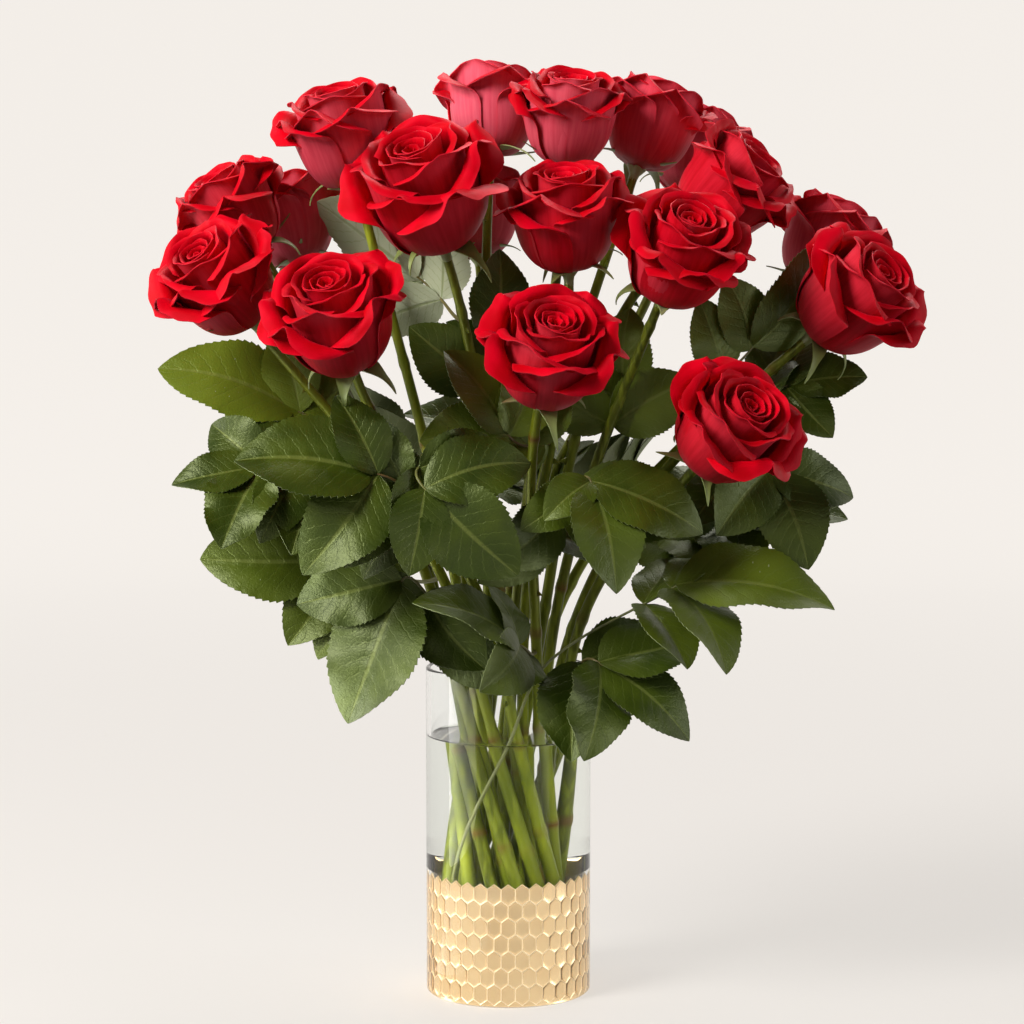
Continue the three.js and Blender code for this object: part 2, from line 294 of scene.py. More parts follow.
softbox("key_left", (-1.35, -1.0, 1.45), (0, 0, 0.35), (0.75, 1.0), 47, (1.0, 0.98, 0.95))
softbox("side_left", (-1.5, 0.15, 0.45), (0, 0, 0.25), (0.30, 1.1), 6, (1.0, 0.98, 0.96))
softbox("side_right", (1.6, -0.35, 0.6), (0, 0, 0.3), (0.40, 1.2), 6, (0.96, 0.98, 1.0))
softbox("top_back", (0.25, 0.9, 1.7), (0, 0, 0.4), (1.0, 0.7), 16, (1.0, 0.98, 0.96))
reflector("card_left", (-0.42, -0.24, 0.12), (0, -0.24, 0.12), (0.42, 0.24), 3.6)
reflector("card_low_left", (-0.31, -0.17, 0.003), (-0.31, -0.17, 1), (0.44, 0.36), 1.3)
reflector("card_low_right", (0.30, 0.06, 0.003), (0.30, 0.06, 1), (0.36, 0.34), 0.05)
reflector("card_right", (0.42, -0.46, 0.12), (0, -0.46, 0.12), (0.36, 0.24), 1.4)

world = bpy.data.worlds.new("studio")
world.use_nodes = True
background = world.node_tree.nodes["Background"]
background.inputs["Color"].default_value = (0.905, 0.875, 0.84, 1)
background.inputs["Strength"].default_value = 0.12
bpy.context.scene.world = world

# %% [markdown]
# ## The glass
# A pressed cylinder with a thick foot and a fire-polished rim. It is one profile turned
# round the axis: the rim is a half circle, and the foot's edge a small arc. The packed
# vase has flat facets, so the turned glass stands for it, with the same sizes.

# %% Vase sizes, from the frame
vase_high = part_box("vase")[1]
lining_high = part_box("gold_lining")[1]
water_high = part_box("water")[1]
VASE_RADIUS = vase_high.x
VASE_HEIGHT = vase_high.z
WALL = 3 * mm
FOOT = 7 * mm
INNER = VASE_RADIUS - WALL
WATER_LEVEL = water_high.z
print("vase", VASE_RADIUS, VASE_HEIGHT, "water level", WATER_LEVEL)


# %% Clear materials
def clear_material(name, colour, ior):
    """Glass or water that lets light through to what stands in it."""
    material, tree, shader = new_material(
        name, Base_Color=colour, Roughness=0.0, IOR=ior, Transmission_Weight=1.0,
        Specular_Tint=(0.12, 0.12, 0.12, 1))
    path = add_node(tree, "ShaderNodeLightPath")
    through = add_node(tree, "ShaderNodeBsdfTransparent", i0=colour)
    mix = add_node(tree, "ShaderNodeMixShader")
    output = tree.nodes["Material Output"]
    tree.links.new(path.outputs["Is Shadow Ray"], mix.inputs[0])
    tree.links.new(shader.outputs[0], mix.inputs[1])
    tree.links.new(through.outputs[0], mix.inputs[2])
    tree.links.new(mix.outputs[0], output.inputs["Surface"])
    return material


glass = clear_material("clear_glass", (0.965, 0.98, 0.975, 1), 1.48)
water_clear = clear_material("water", (0.955, 0.965, 0.94, 1), 1.33)


# %% Turn the glass
def build_glass():
    """One closed profile: foot, outer wall, rim, inner wall and floor."""
    edge, corner = 2.2 * mm, 2.5 * mm
    profile = [(0, 0), (VASE_RADIUS - edge, 0)]
    profile += rounded((VASE_RADIUS - edge, edge), edge, -90, 0, 7)[1:]
    half = WALL / 2
    profile += rounded((VASE_RADIUS - half, VASE_HEIGHT - half), half, 0, 180, 11)
    profile += rounded((INNER - corner, FOOT + corner), corner, 0, -90, 6)
    profile += [(0, FOOT)]
    return lathe("glass_cylinder", profile, 160, [glass])


vase = build_glass()
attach(vase, "root")
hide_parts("vase")


# %% [markdown]
# ## The water
# Clear water fills the vase to a few centimetres under its rim. A thin gap between water
# and glass would mirror like a bubble, so the water is turned a hair wider than the glass's
# inside, and the two overlap. Its edge climbs the glass a little, as water does, and the
# curved rim draws a dark line round it. At the bottom it is narrower, to clear the gold.


# %% Fill the water
def build_water():
    """One profile: up inside the gold, out to the glass, and in over the curved edge."""
    reach = 0.15 * mm
    outer = INNER + reach
    climb = 2.2 * mm
    inner_gold = lining_high.x - 1.3 * mm
    step = lining_high.z + 0.6 * mm
    bottom, rim_rise = FOOT + 0.3 * mm, 1.2 * mm
    profile = [(0, bottom), (inner_gold, bottom), (inner_gold, step), (outer, step + 0.4 * mm)]
    profile += [(outer, WATER_LEVEL + rim_rise)]
    for share in np.linspace(0, 1, 9)[1:]:
        rise = rim_rise * (1 - share) ** 3
        profile.append((outer - climb * share * 1.6, WATER_LEVEL + rise))
    profile += [(0, WATER_LEVEL)]
    return lathe("vase_water", profile, 160, [water_clear])


water = build_water()
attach(water, "root")
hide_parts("water")
print("water stands", round((WATER_LEVEL - FOOT) / mm), "mm deep")

# %% [markdown]
# ## The gold honeycomb
# The lower third of the glass is pressed into rows of tall six-sided cells, plated gold.
# Each cell is a shallow dish with a thin ridge round it. One cell of a few dozen faces is
# built from listed points. Geometry Nodes lay it out in rows, every second row moved by half
# a cell, and bend the flat sheet round the cylinder, so the number of cells stays a number.
# Each copy is tilted a little, by a random amount with a fixed seed, so their glints differ.


# %% Geometry Nodes helpers
def new_tree(name, inputs):
    """A geometry tree with named inputs: {name: (socket type, value)}."""
    tree = bpy.data.node_groups.new(name, "GeometryNodeTree")
    tree.interface.new_socket("Geometry", in_out="INPUT", socket_type="NodeSocketGeometry")
    for key, (kind, value) in inputs.items():
        socket = tree.interface.new_socket(key, in_out="INPUT", socket_type=kind)
        if value is not None:
            socket.default_value = value
    tree.interface.new_socket("Geometry", in_out="OUTPUT", socket_type="NodeSocketGeometry")
    return tree, tree.nodes.new("NodeGroupInput"), tree.nodes.new("NodeGroupOutput")


def geo(tree, kind, inputs=(), **properties):
    """Adds a geometry node, then wires its inputs by name."""
    node = tree.nodes.new(kind)
    for key, value in properties.items():
        setattr(node, key, value)
    for key, value in dict(inputs).items():
        wire(tree, value, node.inputs[key])
    return node


def grown(piece, tree, values):
    """Runs a tree on a piece and keeps the result as its plain mesh."""
    modifier = piece.modifiers.new("grow", "NODES")
    modifier.node_group = tree
    sockets = {item.name: item.identifier for item in tree.interface.items_tree if item.in_out == "INPUT"}
    for key, value in values.items():
        modifier[sockets[key]] = value
    bpy.context.view_layer.update()
    ready = piece.evaluated_get(bpy.context.evaluated_depsgraph_get())
    mesh = bpy.data.meshes.new_from_object(ready)
    mesh.name = piece.name
    piece.modifiers.remove(modifier)
    if piece.type == "MESH":
        piece.data = mesh
        return piece
    collection = bpy.context.scene.collection
    solid = bpy.data.objects.new(piece.name, mesh)
    collection.objects.link(solid)
    bpy.data.objects.remove(piece)
    return solid


# %% Gold
def gold_material():
    """Champagne gold plating, faintly brushed; the ridges are rougher and carry a painted highlight, so the
    dishes look a little duller.
    """
    material, tree, shader = new_material(
        "gold_plating", Base_Color=(0.86, 0.61, 0.32, 1), Metallic=1.0, Roughness=0.2)
    place = add_node(tree, "ShaderNodeTexCoord").outputs["Object"]
    grain = noise(tree, 900, place)
    cloud = noise(tree, 60, place)
    ridge = attribute(tree, "ridge")
    colour = mix_colour(tree, cloud, (0.84, 0.59, 0.31, 1), (0.93, 0.71, 0.43, 1))
    # Painted highlight: the ridges, and faintly the ring inside them, are a paler gold.
    colour = mix_colour(tree, math_node(tree, "MULTIPLY", ridge, 0.6), colour, (1.0, 0.86, 0.62, 1))
    tree.links.new(colour, shader.inputs["Base Color"])
    rough = math_node(tree, "MULTIPLY_ADD", grain, 0.12, 0.14)
    rough = math_node(tree, "MULTIPLY_ADD", ridge, 0.22, rough)
    tree.links.new(rough, shader.inputs["Roughness"])
    add_bump(tree, shader, grain, 0.12, 0.1 * mm)
    return material


gold = gold_material()

# %% One cell
CELLS_AROUND = 36
CELL_ROWS = 7
SHEET_RADIUS = INNER + 0.8 * mm      # the gold is bonded to the glass, so its ridges lie in the wall
CELL_WIDTH = 2 * math.pi * SHEET_RADIUS / CELLS_AROUND
GOLD_LOW = 1.4 * mm                  # it runs down inside the solid foot
GOLD_HEIGHT = lining_high.z - GOLD_LOW


def build_cell():
    """A tall hexagon: a ridge, a dish of two rings inside it, and a flat back."""
    point = 0.30
    row = GOLD_HEIGHT / (CELL_ROWS + point)
    outline = [(0.5, 0.5 - point / 2), (0, 0.5 + point / 2), (-0.5, 0.5 - point / 2)]
    outline += [(-x, -z) for x, z in outline]
    middle = []
    for (x, z), (u, w) in zip(outline, outline[1:] + outline[:1]):
        middle += [(x, z), ((x + u) / 2, (z + w) / 2)]
    rings = [(1.0, 0.0), (0.94, 0.30), (0.84, 0.74), (0.55, 0.95), (0.25, 1.0)]
    depth, back = 0.28 * mm, 1.3 * mm
    vertices = []
    for share, down in rings:
        for x, z in middle:
            bow = share if share > 0.9 else share * (0.93 + 0.07 / max(math.hypot(x, z) * 2, 0.7))
            vertices.append((x * CELL_WIDTH * bow, depth * down, z * row * bow))
    vertices.append((0, depth, 0))
    vertices += [(x * CELL_WIDTH, back, z * row) for x, z in middle]
    n = len(middle)
    centre = n * len(rings)
    faces, smooth = [], []
    for k in range(n):
        m = (k + 1) % n
        for ring in range(len(rings) - 1):
            a = ring * n
            faces.append((a + k, a + n + k, a + n + m, a + m))
            smooth.append(ring > 0)
        faces.append((a + n + k, centre, a + n + m))
        smooth.append(True)
        faces.append((centre + 1 + k, k, m, centre + 1 + m))
        smooth.append(False)
    faces.append(tuple(centre + 1 + k for k in range(n)))
    smooth.append(False)
    cell = mesh_object("honeycomb_sleeve", vertices, faces, [gold])
    cell.data.polygons.foreach_set("use_smooth", smooth)
    # 1 on the ridge and 0.35 on the ring inside it: the gold paints a highlight there and makes it rougher.
    ridge = np.zeros(len(vertices))
    ridge[:n] = 1
    ridge[n:2 * n] = 0.35
    cell.data.attributes.new("ridge", "FLOAT", "POINT").data.foreach_set("value", ridge)
    return cell, row


cell, ROW = build_cell()
print("cell", round(CELL_WIDTH / mm, 2), "mm wide, rows", round(ROW / mm, 2), "mm apart,",
      len(cell.data.polygons), "faces")


# %% Lay the cells round the cylinder
def honeycomb_tree():
    """Rows of cells on a flat sheet, then bent round the vertical axis."""
    tree, inside, outside = new_tree("honeycomb", {
        "Cells around": ("NodeSocketInt", 36),
        "Rows": ("NodeSocketInt", 7),
        "Cell width": ("NodeSocketFloat", 0.008),
        "Row height": ("NodeSocketFloat", 0.01),
        "Lowest row": ("NodeSocketFloat", 0.0),
        "Radius": ("NodeSocketFloat", 0.047),
        "Seed": ("NodeSocketInt", 0),
        "Gold": ("NodeSocketMaterial", None),
    })
    given = inside.outputs
    count = math_node(tree, "MULTIPLY", given["Cells around"], given["Rows"])
    points = geo(tree, "GeometryNodeMeshLine", {"Count": count})
    index = geo(tree, "GeometryNodeInputIndex").outputs[0]
    row = math_node(tree, "FLOOR", math_node(tree, "DIVIDE", index, given["Cells around"]))
    column = math_node(tree, "MODULO", index, given["Cells around"])
    shifted = math_node(tree, "MULTIPLY_ADD", math_node(tree, "MODULO", row, 2), 0.5, column)
    flat = geo(tree, "ShaderNodeCombineXYZ", {
        "X": math_node(tree, "MULTIPLY", shifted, given["Cell width"]),
        "Z": math_node(tree, "MULTIPLY_ADD", row, given["Row height"], given["Lowest row"])})
    placed = geo(tree, "GeometryNodeSetPosition", {
        "Geometry": points.outputs[0], "Position": flat.outputs[0]})
    tilt = geo(tree, "FunctionNodeRandomValue", {
        0: (-0.035, 0.0, -0.055), 1: (0.035, 0.0, 0.055), "Seed": given["Seed"]}, data_type="FLOAT_VECTOR")
    copies = geo(tree, "GeometryNodeInstanceOnPoints", {
        "Points": placed.outputs[0], "Instance": given["Geometry"], "Rotation": tilt.outputs[0]})
    sheet = geo(tree, "GeometryNodeRealizeInstances", {"Geometry": copies.outputs[0]})
    at = geo(tree, "ShaderNodeSeparateXYZ", {0: geo(tree, "GeometryNodeInputPosition").outputs[0]})
    angle = math_node(tree, "DIVIDE", at.outputs["X"], given["Radius"])
    reach = math_node(tree, "SUBTRACT", given["Radius"], at.outputs["Y"])
    behind = math_node(tree, "MULTIPLY", reach, math_node(tree, "COSINE", angle))
    bent = geo(tree, "ShaderNodeCombineXYZ", {
        "X": math_node(tree, "MULTIPLY", reach, math_node(tree, "SINE", angle)),
        "Y": math_node(tree, "MULTIPLY", behind, -1.0),
        "Z": at.outputs["Z"]})
    wrapped = geo(tree, "GeometryNodeSetPosition", {
        "Geometry": sheet.outputs[0], "Position": bent.outputs[0]})
    painted = geo(tree, "GeometryNodeSetMaterial", {
        "Geometry": wrapped.outputs[0], "Material": given["Gold"]})
    tree.links.new(painted.outputs[0], outside.inputs[0])
    return tree


sleeve = grown(cell, honeycomb_tree(), {
    "Cells around": CELLS_AROUND,
    "Rows": CELL_ROWS,
    "Cell width": CELL_WIDTH,
    "Row height": ROW,
    "Lowest row": GOLD_LOW + ROW * 0.65,
    "Radius": SHEET_RADIUS,
    "Seed": SEED,
    "Gold": gold,
})
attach(sleeve, "root")
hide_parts("gold_lining")
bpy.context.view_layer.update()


# %% [markdown]
# ## The plated foot
# Between the points of the lowest cells, and under them, bare glass would show. A plain
# gold dish closes that space, as plating on the bottom would. It has no ridges, so it is
# turned from a profile like the glass, and its wall runs just behind the cells' faces.


# %% The plated foot under the cells
def build_gold_foot():
    """A plain shallow dish that closes the bottom and the gaps between the lowest points."""
    outer, low = SHEET_RADIUS - 0.32 * mm, GOLD_LOW - 0.2 * mm
    inner, high = outer - 0.4 * mm, low + 4.5 * mm
    floor = low + 0.4 * mm
    profile = [(0, low), (outer, low), (outer, high), (inner, high), (inner, floor), (0, floor)]
    return lathe("gold_foot", profile, 144, [gold])


gold_foot = build_gold_foot()
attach(gold_foot, "root")
print("gold foot", round(gold_foot.dimensions.x / mm, 1), "mm across")

# %% [markdown]
# ## The stems
# A rose stem is a tapering green rod, thicker at its nodes, with curved thorns and
# reddish scars where leaves were. Its middle line runs straight from the foot of the vase
# through the mouth and then bends over to the flower. Geometry Nodes turn that line into
# a closed tube, swell it at the nodes and set thorns along it, each on its own side. A
# tone for each stem makes some darker than others. Places are given in bloom radii from
# the middle of the vase's mouth, and a slot in the mouth as a share of its free width.

# %% Roses: base of the flower, the way it faces, its size, and its slot in the mouth
BLOOM_RADIUS = 38 * mm
BLOOM_HEIGHT = 66 * mm
STEM_RADIUS = 3.7 * mm
CLEARANCE = 0.3 * mm
MOUTH_TURN, STEM_TWIST, FOOT_SHRINK = 33, 95, 0.95
ROSES = [
    ((-2.42, 0.30, 7.72), (-0.22, -0.25, 0.94), 1.00, (-0.55, 0.10)),
    ((-1.02, -0.78, 6.78), (-0.25, -0.50, 0.83), 1.16, (-0.25, -0.35)),
    ((-0.30, 1.35, 8.25), (0.05, 0.24, 0.97), 0.90, (-0.03, 0.50)),
    ((0.95, 0.60, 8.10), (0.06, -0.30, 0.95), 0.90, (0.16, 0.13)),
    ((2.10, 1.25, 8.05), (0.32, 0.10, 0.94), 0.90, (0.35, 0.44)),
    ((2.95, 0.40, 7.10), (0.68, -0.25, 0.69), 1.00, (0.55, 0.12)),
    ((2.42, -1.00, 6.00), (0.27, -0.58, 0.77), 1.00, (0.43, -0.38)),
    ((0.95, -0.85, 6.40), (-0.05, -0.35, 0.94), 1.00, (0.05, -0.30)),
    ((-4.02, 0.40, 6.70), (-0.50, -0.20, 0.84), 0.88, (-0.88, 0.00)),
    ((-4.05, -0.80, 5.62), (-0.50, -0.50, 0.70), 0.98, (-0.76, -0.37)),
    ((-3.45, 1.45, 6.45), (-0.25, 0.25, 0.93), 0.90, (-0.67, 0.42)),
    ((-2.42, -1.65, 4.95), (-0.20, -0.58, 0.79), 1.05, (-0.51, -0.67)),
    ((0.50, -1.95, 4.45), (0.15, -0.62, 0.77), 1.00, (0.02, -0.72)),
    ((3.00, -1.75, 3.45), (0.45, -0.66, 0.60), 1.00, (0.55, -0.75)),
    ((4.92, 1.25, 6.15), (0.42, 0.15, 0.89), 0.90, (0.83, 0.39)),
    ((4.90, -0.20, 5.40), (0.62, -0.50, 0.60), 1.05, (0.85, -0.12)),
    ((-0.50, 2.35, 6.60), (-0.10, 0.30, 0.95), 0.90, (-0.28, 0.72)),
    ((3.00, 2.75, 7.65), (0.25, 0.30, 0.92), 0.90, (0.35, 0.83)),
]


def unit(vector):
    """The vector at length 1."""
    vector = np.asarray(vector, float)
    return vector / np.linalg.norm(vector)


def crown(place):
    """A place in bloom radii from the middle of the mouth, in metres."""
    return np.array(place) * BLOOM_RADIUS + np.array([0, 0, VASE_HEIGHT])


def turned(slot, degrees):
    """A slot in the mouth, turned round the axis, as x and y in metres."""
    a = math.radians(degrees)
    x, y = np.array(slot) * (INNER - CLEARANCE - 1.2 * STEM_RADIUS)
    return np.array([x * math.cos(a) - y * math.sin(a), x * math.sin(a) + y * math.cos(a)])


def bezier(p0, p1, p2, p3, count):
    """Points of a cubic curve between its first and last point."""
    t = np.linspace(0, 1, count)[:, None]
    return (1 - t) ** 3 * p0 + 3 * (1 - t) ** 2 * t * p1 + 3 * (1 - t) * t * t * p2 + t ** 3 * p3


def stem_line(rose):
    """Points of a stem's middle line, from its foot to the flower."""
    place, facing, _, slot = rose
    mouth = np.append(turned(slot, MOUTH_TURN), VASE_HEIGHT)
    foot_height = FOOT + CLEARANCE + 0.6 * STEM_RADIUS
    foot = np.append(turned(slot, MOUTH_TURN + STEM_TWIST) * FOOT_SHRINK, foot_height)
    axis = unit(facing)
    base = crown(place)
    reach = np.linalg.norm(base - mouth)
    along = unit(mouth - foot)
    end = base - axis * CLEARANCE
    straight = foot + (mouth - foot) * np.linspace(0, 1, 24)[:, None]
    bend = bezier(mouth, mouth + along * 0.42 * reach, end - axis * 0.38 * reach, end, 48)
    return np.vstack([straight, bend[1:]]), base, axis


LINES = [stem_line(rose) for rose in ROSES]
worst = 0
for i, (line, _, _) in enumerate(LINES):
    low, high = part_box(f"stem_{i + 1:02d}")
    worst = max(worst, abs(low.z - (FOOT + CLEARANCE)), abs(high.z - line[-1][2]) - 2 * STEM_RADIUS)
print("stem lines match the packed stems to", round(worst / mm, 2), "mm")


# %% Stem skin
def stem_material():
    """Yellow-green skin with fine ribs, darker where the tone is low, reddish at the nodes."""
    material, tree, shader = new_material(
        "stem_skin", Roughness=0.42, Specular_IOR_Level=0.40, Specular_Tint=(0.8, 0.85, 0.3, 1))
    place = add_node(tree, "ShaderNodeTexCoord").outputs["Object"]
    cloud = noise(tree, 22.0, place)
    squeeze = add_node(tree, "ShaderNodeMapping")
    squeeze.inputs["Scale"].default_value = (1, 1, 0.12)
    tree.links.new(place, squeeze.inputs["Vector"])
    fine = noise(tree, 260.0, squeeze.outputs[0])
    green = mix_colour(tree, ramp(tree, cloud, 0.35, 0.68), (0.115, 0.150, 0.006, 1), (0.34, 0.38, 0.016, 1))
    green = mix_colour(tree, attribute(tree, "tone"), (0.042, 0.052, 0.004, 1), green)
    ribbed = mix_colour(tree, ramp(tree, fine, 0.42, 0.62), green, (0.17, 0.20, 0.012, 1))
    patch = math_node(tree, "MULTIPLY", attribute(tree, "node_red"), ramp(tree, cloud, 0.42, 0.60))
    brown = mix_colour(tree, math_node(tree, "MULTIPLY", patch, 0.90), ribbed, (0.12, 0.028, 0.010, 1))
    tree.links.new(brown, shader.inputs["Base Color"])
    add_bump(tree, shader, fine, 0.35, 0.25 * mm)
    return material


stem_skin = stem_material()


# %% A thorn
def build_thorn():
    """A curved prickle: a flattened cone whose point leans back down the stem."""
    rings = [(0.0, 1.0, 0.0), (0.35, 0.55, -0.03), (0.7, 0.24, -0.14)]
    sides, length, foot_length, foot_width = 6, 5.6 * mm, 2.7 * mm, 1.0 * mm
    vertices, faces = [], []
    for up, wide, lean in rings:
        for k in range(sides):
            a = 2 * math.pi * k / sides
            x, y = foot_width * wide * math.cos(a), foot_length * wide * math.sin(a)
            vertices.append((x, y + lean * length, up * length))
    vertices += [(0, -0.34 * length, length), (0, 0, -0.4 * mm)]
    tip, root = len(vertices) - 2, len(vertices) - 1
    for k in range(sides):
        n = (k + 1) % sides
        for ring in range(len(rings) - 1):
            a = ring * sides
            faces.append((a + k, a + n, a + sides + n, a + sides + k))
        a = (len(rings) - 1) * sides
        faces.append((a + k, a + n, tip))
        faces.append((n, k, root))
    return mesh_object("thorn", vertices, faces, [stem_skin])


# %% Tube, nodes and thorns
def stem_tree(thorn):
    """A tapering tube round a line, swollen at its nodes, with thorns."""
    tree, inside, outside = new_tree("rose_stem", {
        "Stem radius": ("NodeSocketFloat", 0.0037),
        "Node spacing": ("NodeSocketFloat", 0.055),
        "Node start": ("NodeSocketFloat", 0.0),
        "Thorns": ("NodeSocketInt", 6),
        "Tone": ("NodeSocketFloat", 1.0),
        "Seed": ("NodeSocketInt", 0),
        "Skin": ("NodeSocketMaterial", None),
    })
    given = inside.outputs
    fine = geo(tree, "GeometryNodeResampleCurve", {
        "Curve": given["Geometry"], "Length": 3.2 * mm}, mode="LENGTH")
    spline = geo(tree, "GeometryNodeSplineParameter").outputs
    run = math_node(tree, "ADD", spline["Length"], given["Node start"])
    step = math_node(tree, "DIVIDE", run, given["Node spacing"])
    near = math_node(tree, "ABSOLUTE", math_node(tree, "SUBTRACT", math_node(tree, "FRACT", step), 0.5))
    swell = geo(tree, "ShaderNodeMapRange", {"Value": near, "From Min": 0.09, "From Max": 0.0},
                interpolation_type="SMOOTHSTEP").outputs[0]
    above = math_node(tree, "GREATER_THAN", spline["Length"], 0.07)
    red = math_node(tree, "MULTIPLY", math_node(tree, "MULTIPLY", swell, swell), above)
    marked = geo(tree, "GeometryNodeStoreNamedAttribute", {
        "Geometry": fine.outputs[0], "Name": "node_red", "Value": red}, data_type="FLOAT", domain="POINT")
    taper = geo(tree, "ShaderNodeMapRange", {
        "Value": spline["Factor"], "To Min": 1.06, "To Max": 0.78}).outputs[0]
    wide = math_node(tree, "MULTIPLY_ADD", swell, 0.16, taper)
    radius = math_node(tree, "MULTIPLY", wide, given["Stem radius"])
    sized = geo(tree, "GeometryNodeSetCurveRadius", {"Curve": marked.outputs[0], "Radius": radius})
    ring = geo(tree, "GeometryNodeCurvePrimitiveCircle", {"Resolution": 12, "Radius": 1.0}, mode="RADIUS")
    tube = geo(tree, "GeometryNodeCurveToMesh", {
        "Curve": sized.outputs[0], "Profile Curve": ring.outputs[0], "Fill Caps": True})
    if "Scale" in tube.inputs:
        wire(tree, geo(tree, "GeometryNodeInputRadius").outputs[0], tube.inputs["Scale"])
    smooth = geo(tree, "GeometryNodeSetShadeSmooth", {"Geometry": tube.outputs[0]})
    upper = geo(tree, "GeometryNodeTrimCurve", {
        "Curve": given["Geometry"], 2: 0.44, 3: 0.88}, mode="FACTOR")
    spots = geo(tree, "GeometryNodeCurveToPoints", {
        "Curve": upper.outputs[0], "Count": given["Thorns"]}, mode="COUNT")
    spin = geo(tree, "FunctionNodeRandomValue", {
        2: 0.0, 3: 6.28, "Seed": given["Seed"]}, data_type="FLOAT")
    size = geo(tree, "FunctionNodeRandomValue", {
        2: 0.6, 3: 1.1, "Seed": given["Seed"]}, data_type="FLOAT")
    turn = geo(tree, "ShaderNodeVectorRotate", {
        "Vector": spots.outputs["Normal"], "Axis": spots.outputs["Tangent"], "Angle": spin.outputs[1]},
        rotation_type="AXIS_ANGLE")
    out = geo(tree, "FunctionNodeAlignRotationToVector", {"Vector": turn.outputs[0]}, axis="Z")
    upright = geo(tree, "FunctionNodeAlignRotationToVector", {
        "Rotation": out.outputs[0], "Vector": spots.outputs["Tangent"]}, axis="Y", pivot_axis="Z")
    seat = math_node(tree, "MULTIPLY", given["Stem radius"], 0.86)
    away = geo(tree, "ShaderNodeVectorMath", {0: turn.outputs[0], "Scale": seat}, operation="SCALE")
    seated = geo(tree, "GeometryNodeSetPosition", {"Geometry": spots.outputs[0], "Offset": away.outputs[0]})
    source = geo(tree, "GeometryNodeObjectInfo", {"Object": thorn})
    pricked = geo(tree, "GeometryNodeInstanceOnPoints", {
        "Points": seated.outputs[0], "Instance": source.outputs["Geometry"],
        "Rotation": upright.outputs[0], "Scale": size.outputs[1]})
    real = geo(tree, "GeometryNodeRealizeInstances", {"Geometry": pricked.outputs[0]})
    reddish = geo(tree, "GeometryNodeStoreNamedAttribute", {
        "Geometry": real.outputs[0], "Name": "node_red", "Value": 0.55}, data_type="FLOAT", domain="POINT")
    joined = tree.nodes.new("GeometryNodeJoinGeometry")
    tree.links.new(smooth.outputs[0], joined.inputs[0])
    tree.links.new(reddish.outputs[0], joined.inputs[0])
    toned = geo(tree, "GeometryNodeStoreNamedAttribute", {
        "Geometry": joined.outputs[0], "Name": "tone", "Value": given["Tone"]},
        data_type="FLOAT", domain="POINT")
    painted = geo(tree, "GeometryNodeSetMaterial", {
        "Geometry": toned.outputs[0], "Material": given["Skin"]})
    tree.links.new(painted.outputs[0], outside.inputs[0])
    return tree


def curve_object(name, points):
    """A curve of one open spline through the points."""
    curve = bpy.data.curves.new(name, "CURVE")
    curve.dimensions = "3D"
    spline = curve.splines.new("POLY")
    spline.points.add(len(points) - 1)
    spline.points.foreach_set("co", np.hstack([points, np.ones((len(points), 1))]).ravel())
    piece = bpy.data.objects.new(name, curve)
    bpy.context.scene.collection.objects.link(piece)
    return piece


# %% Grow the stems
thorn = build_thorn()
skin_and_thorns = stem_tree(thorn)
faces_in_stems = 0
for i, (line, _, _) in enumerate(LINES):
    stem = grown(curve_object(f"rose_stem_{i + 1:02d}", line), skin_and_thorns, {
        "Stem radius": STEM_RADIUS,
        "Node spacing": (52 + 5 * (i % 5)) * mm,
        "Node start": 11 * (i % 7) * mm,
        "Thorns": 3 + i % 3,
        "Tone": (1.0, 0.35, 0.75, 0.15, 0.9, 0.55, 0.2)[i % 7],
        "Seed": SEED + i,
        "Skin": stem_skin,
    })
    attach(stem, "root")
    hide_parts(f"stem_{i + 1:02d}")
    faces_in_stems += len(stem.data.polygons)
bpy.data.objects.remove(thorn)
print("stems:", len(LINES), "with", faces_in_stems, "faces")

# %% [markdown]
# ## The leaves
# A rose leaf is a thin stalk with one leaflet at its end and pairs at its sides; here each
# leaf has three to nine, and a zero in its list leaves one out. A leaflet is oval and
# pointed, with forward teeth, folded a little along its midrib, arched from base to tip,
# and quilted between its side veins. It is a rule-made grid bent in code, with two sheets
# and a sealed edge, so its teeth, its fold and its quilting are real shape. Upper side and
# underside carry different greens. Leaf 6 grows on no stem: its stalk stands in the water.

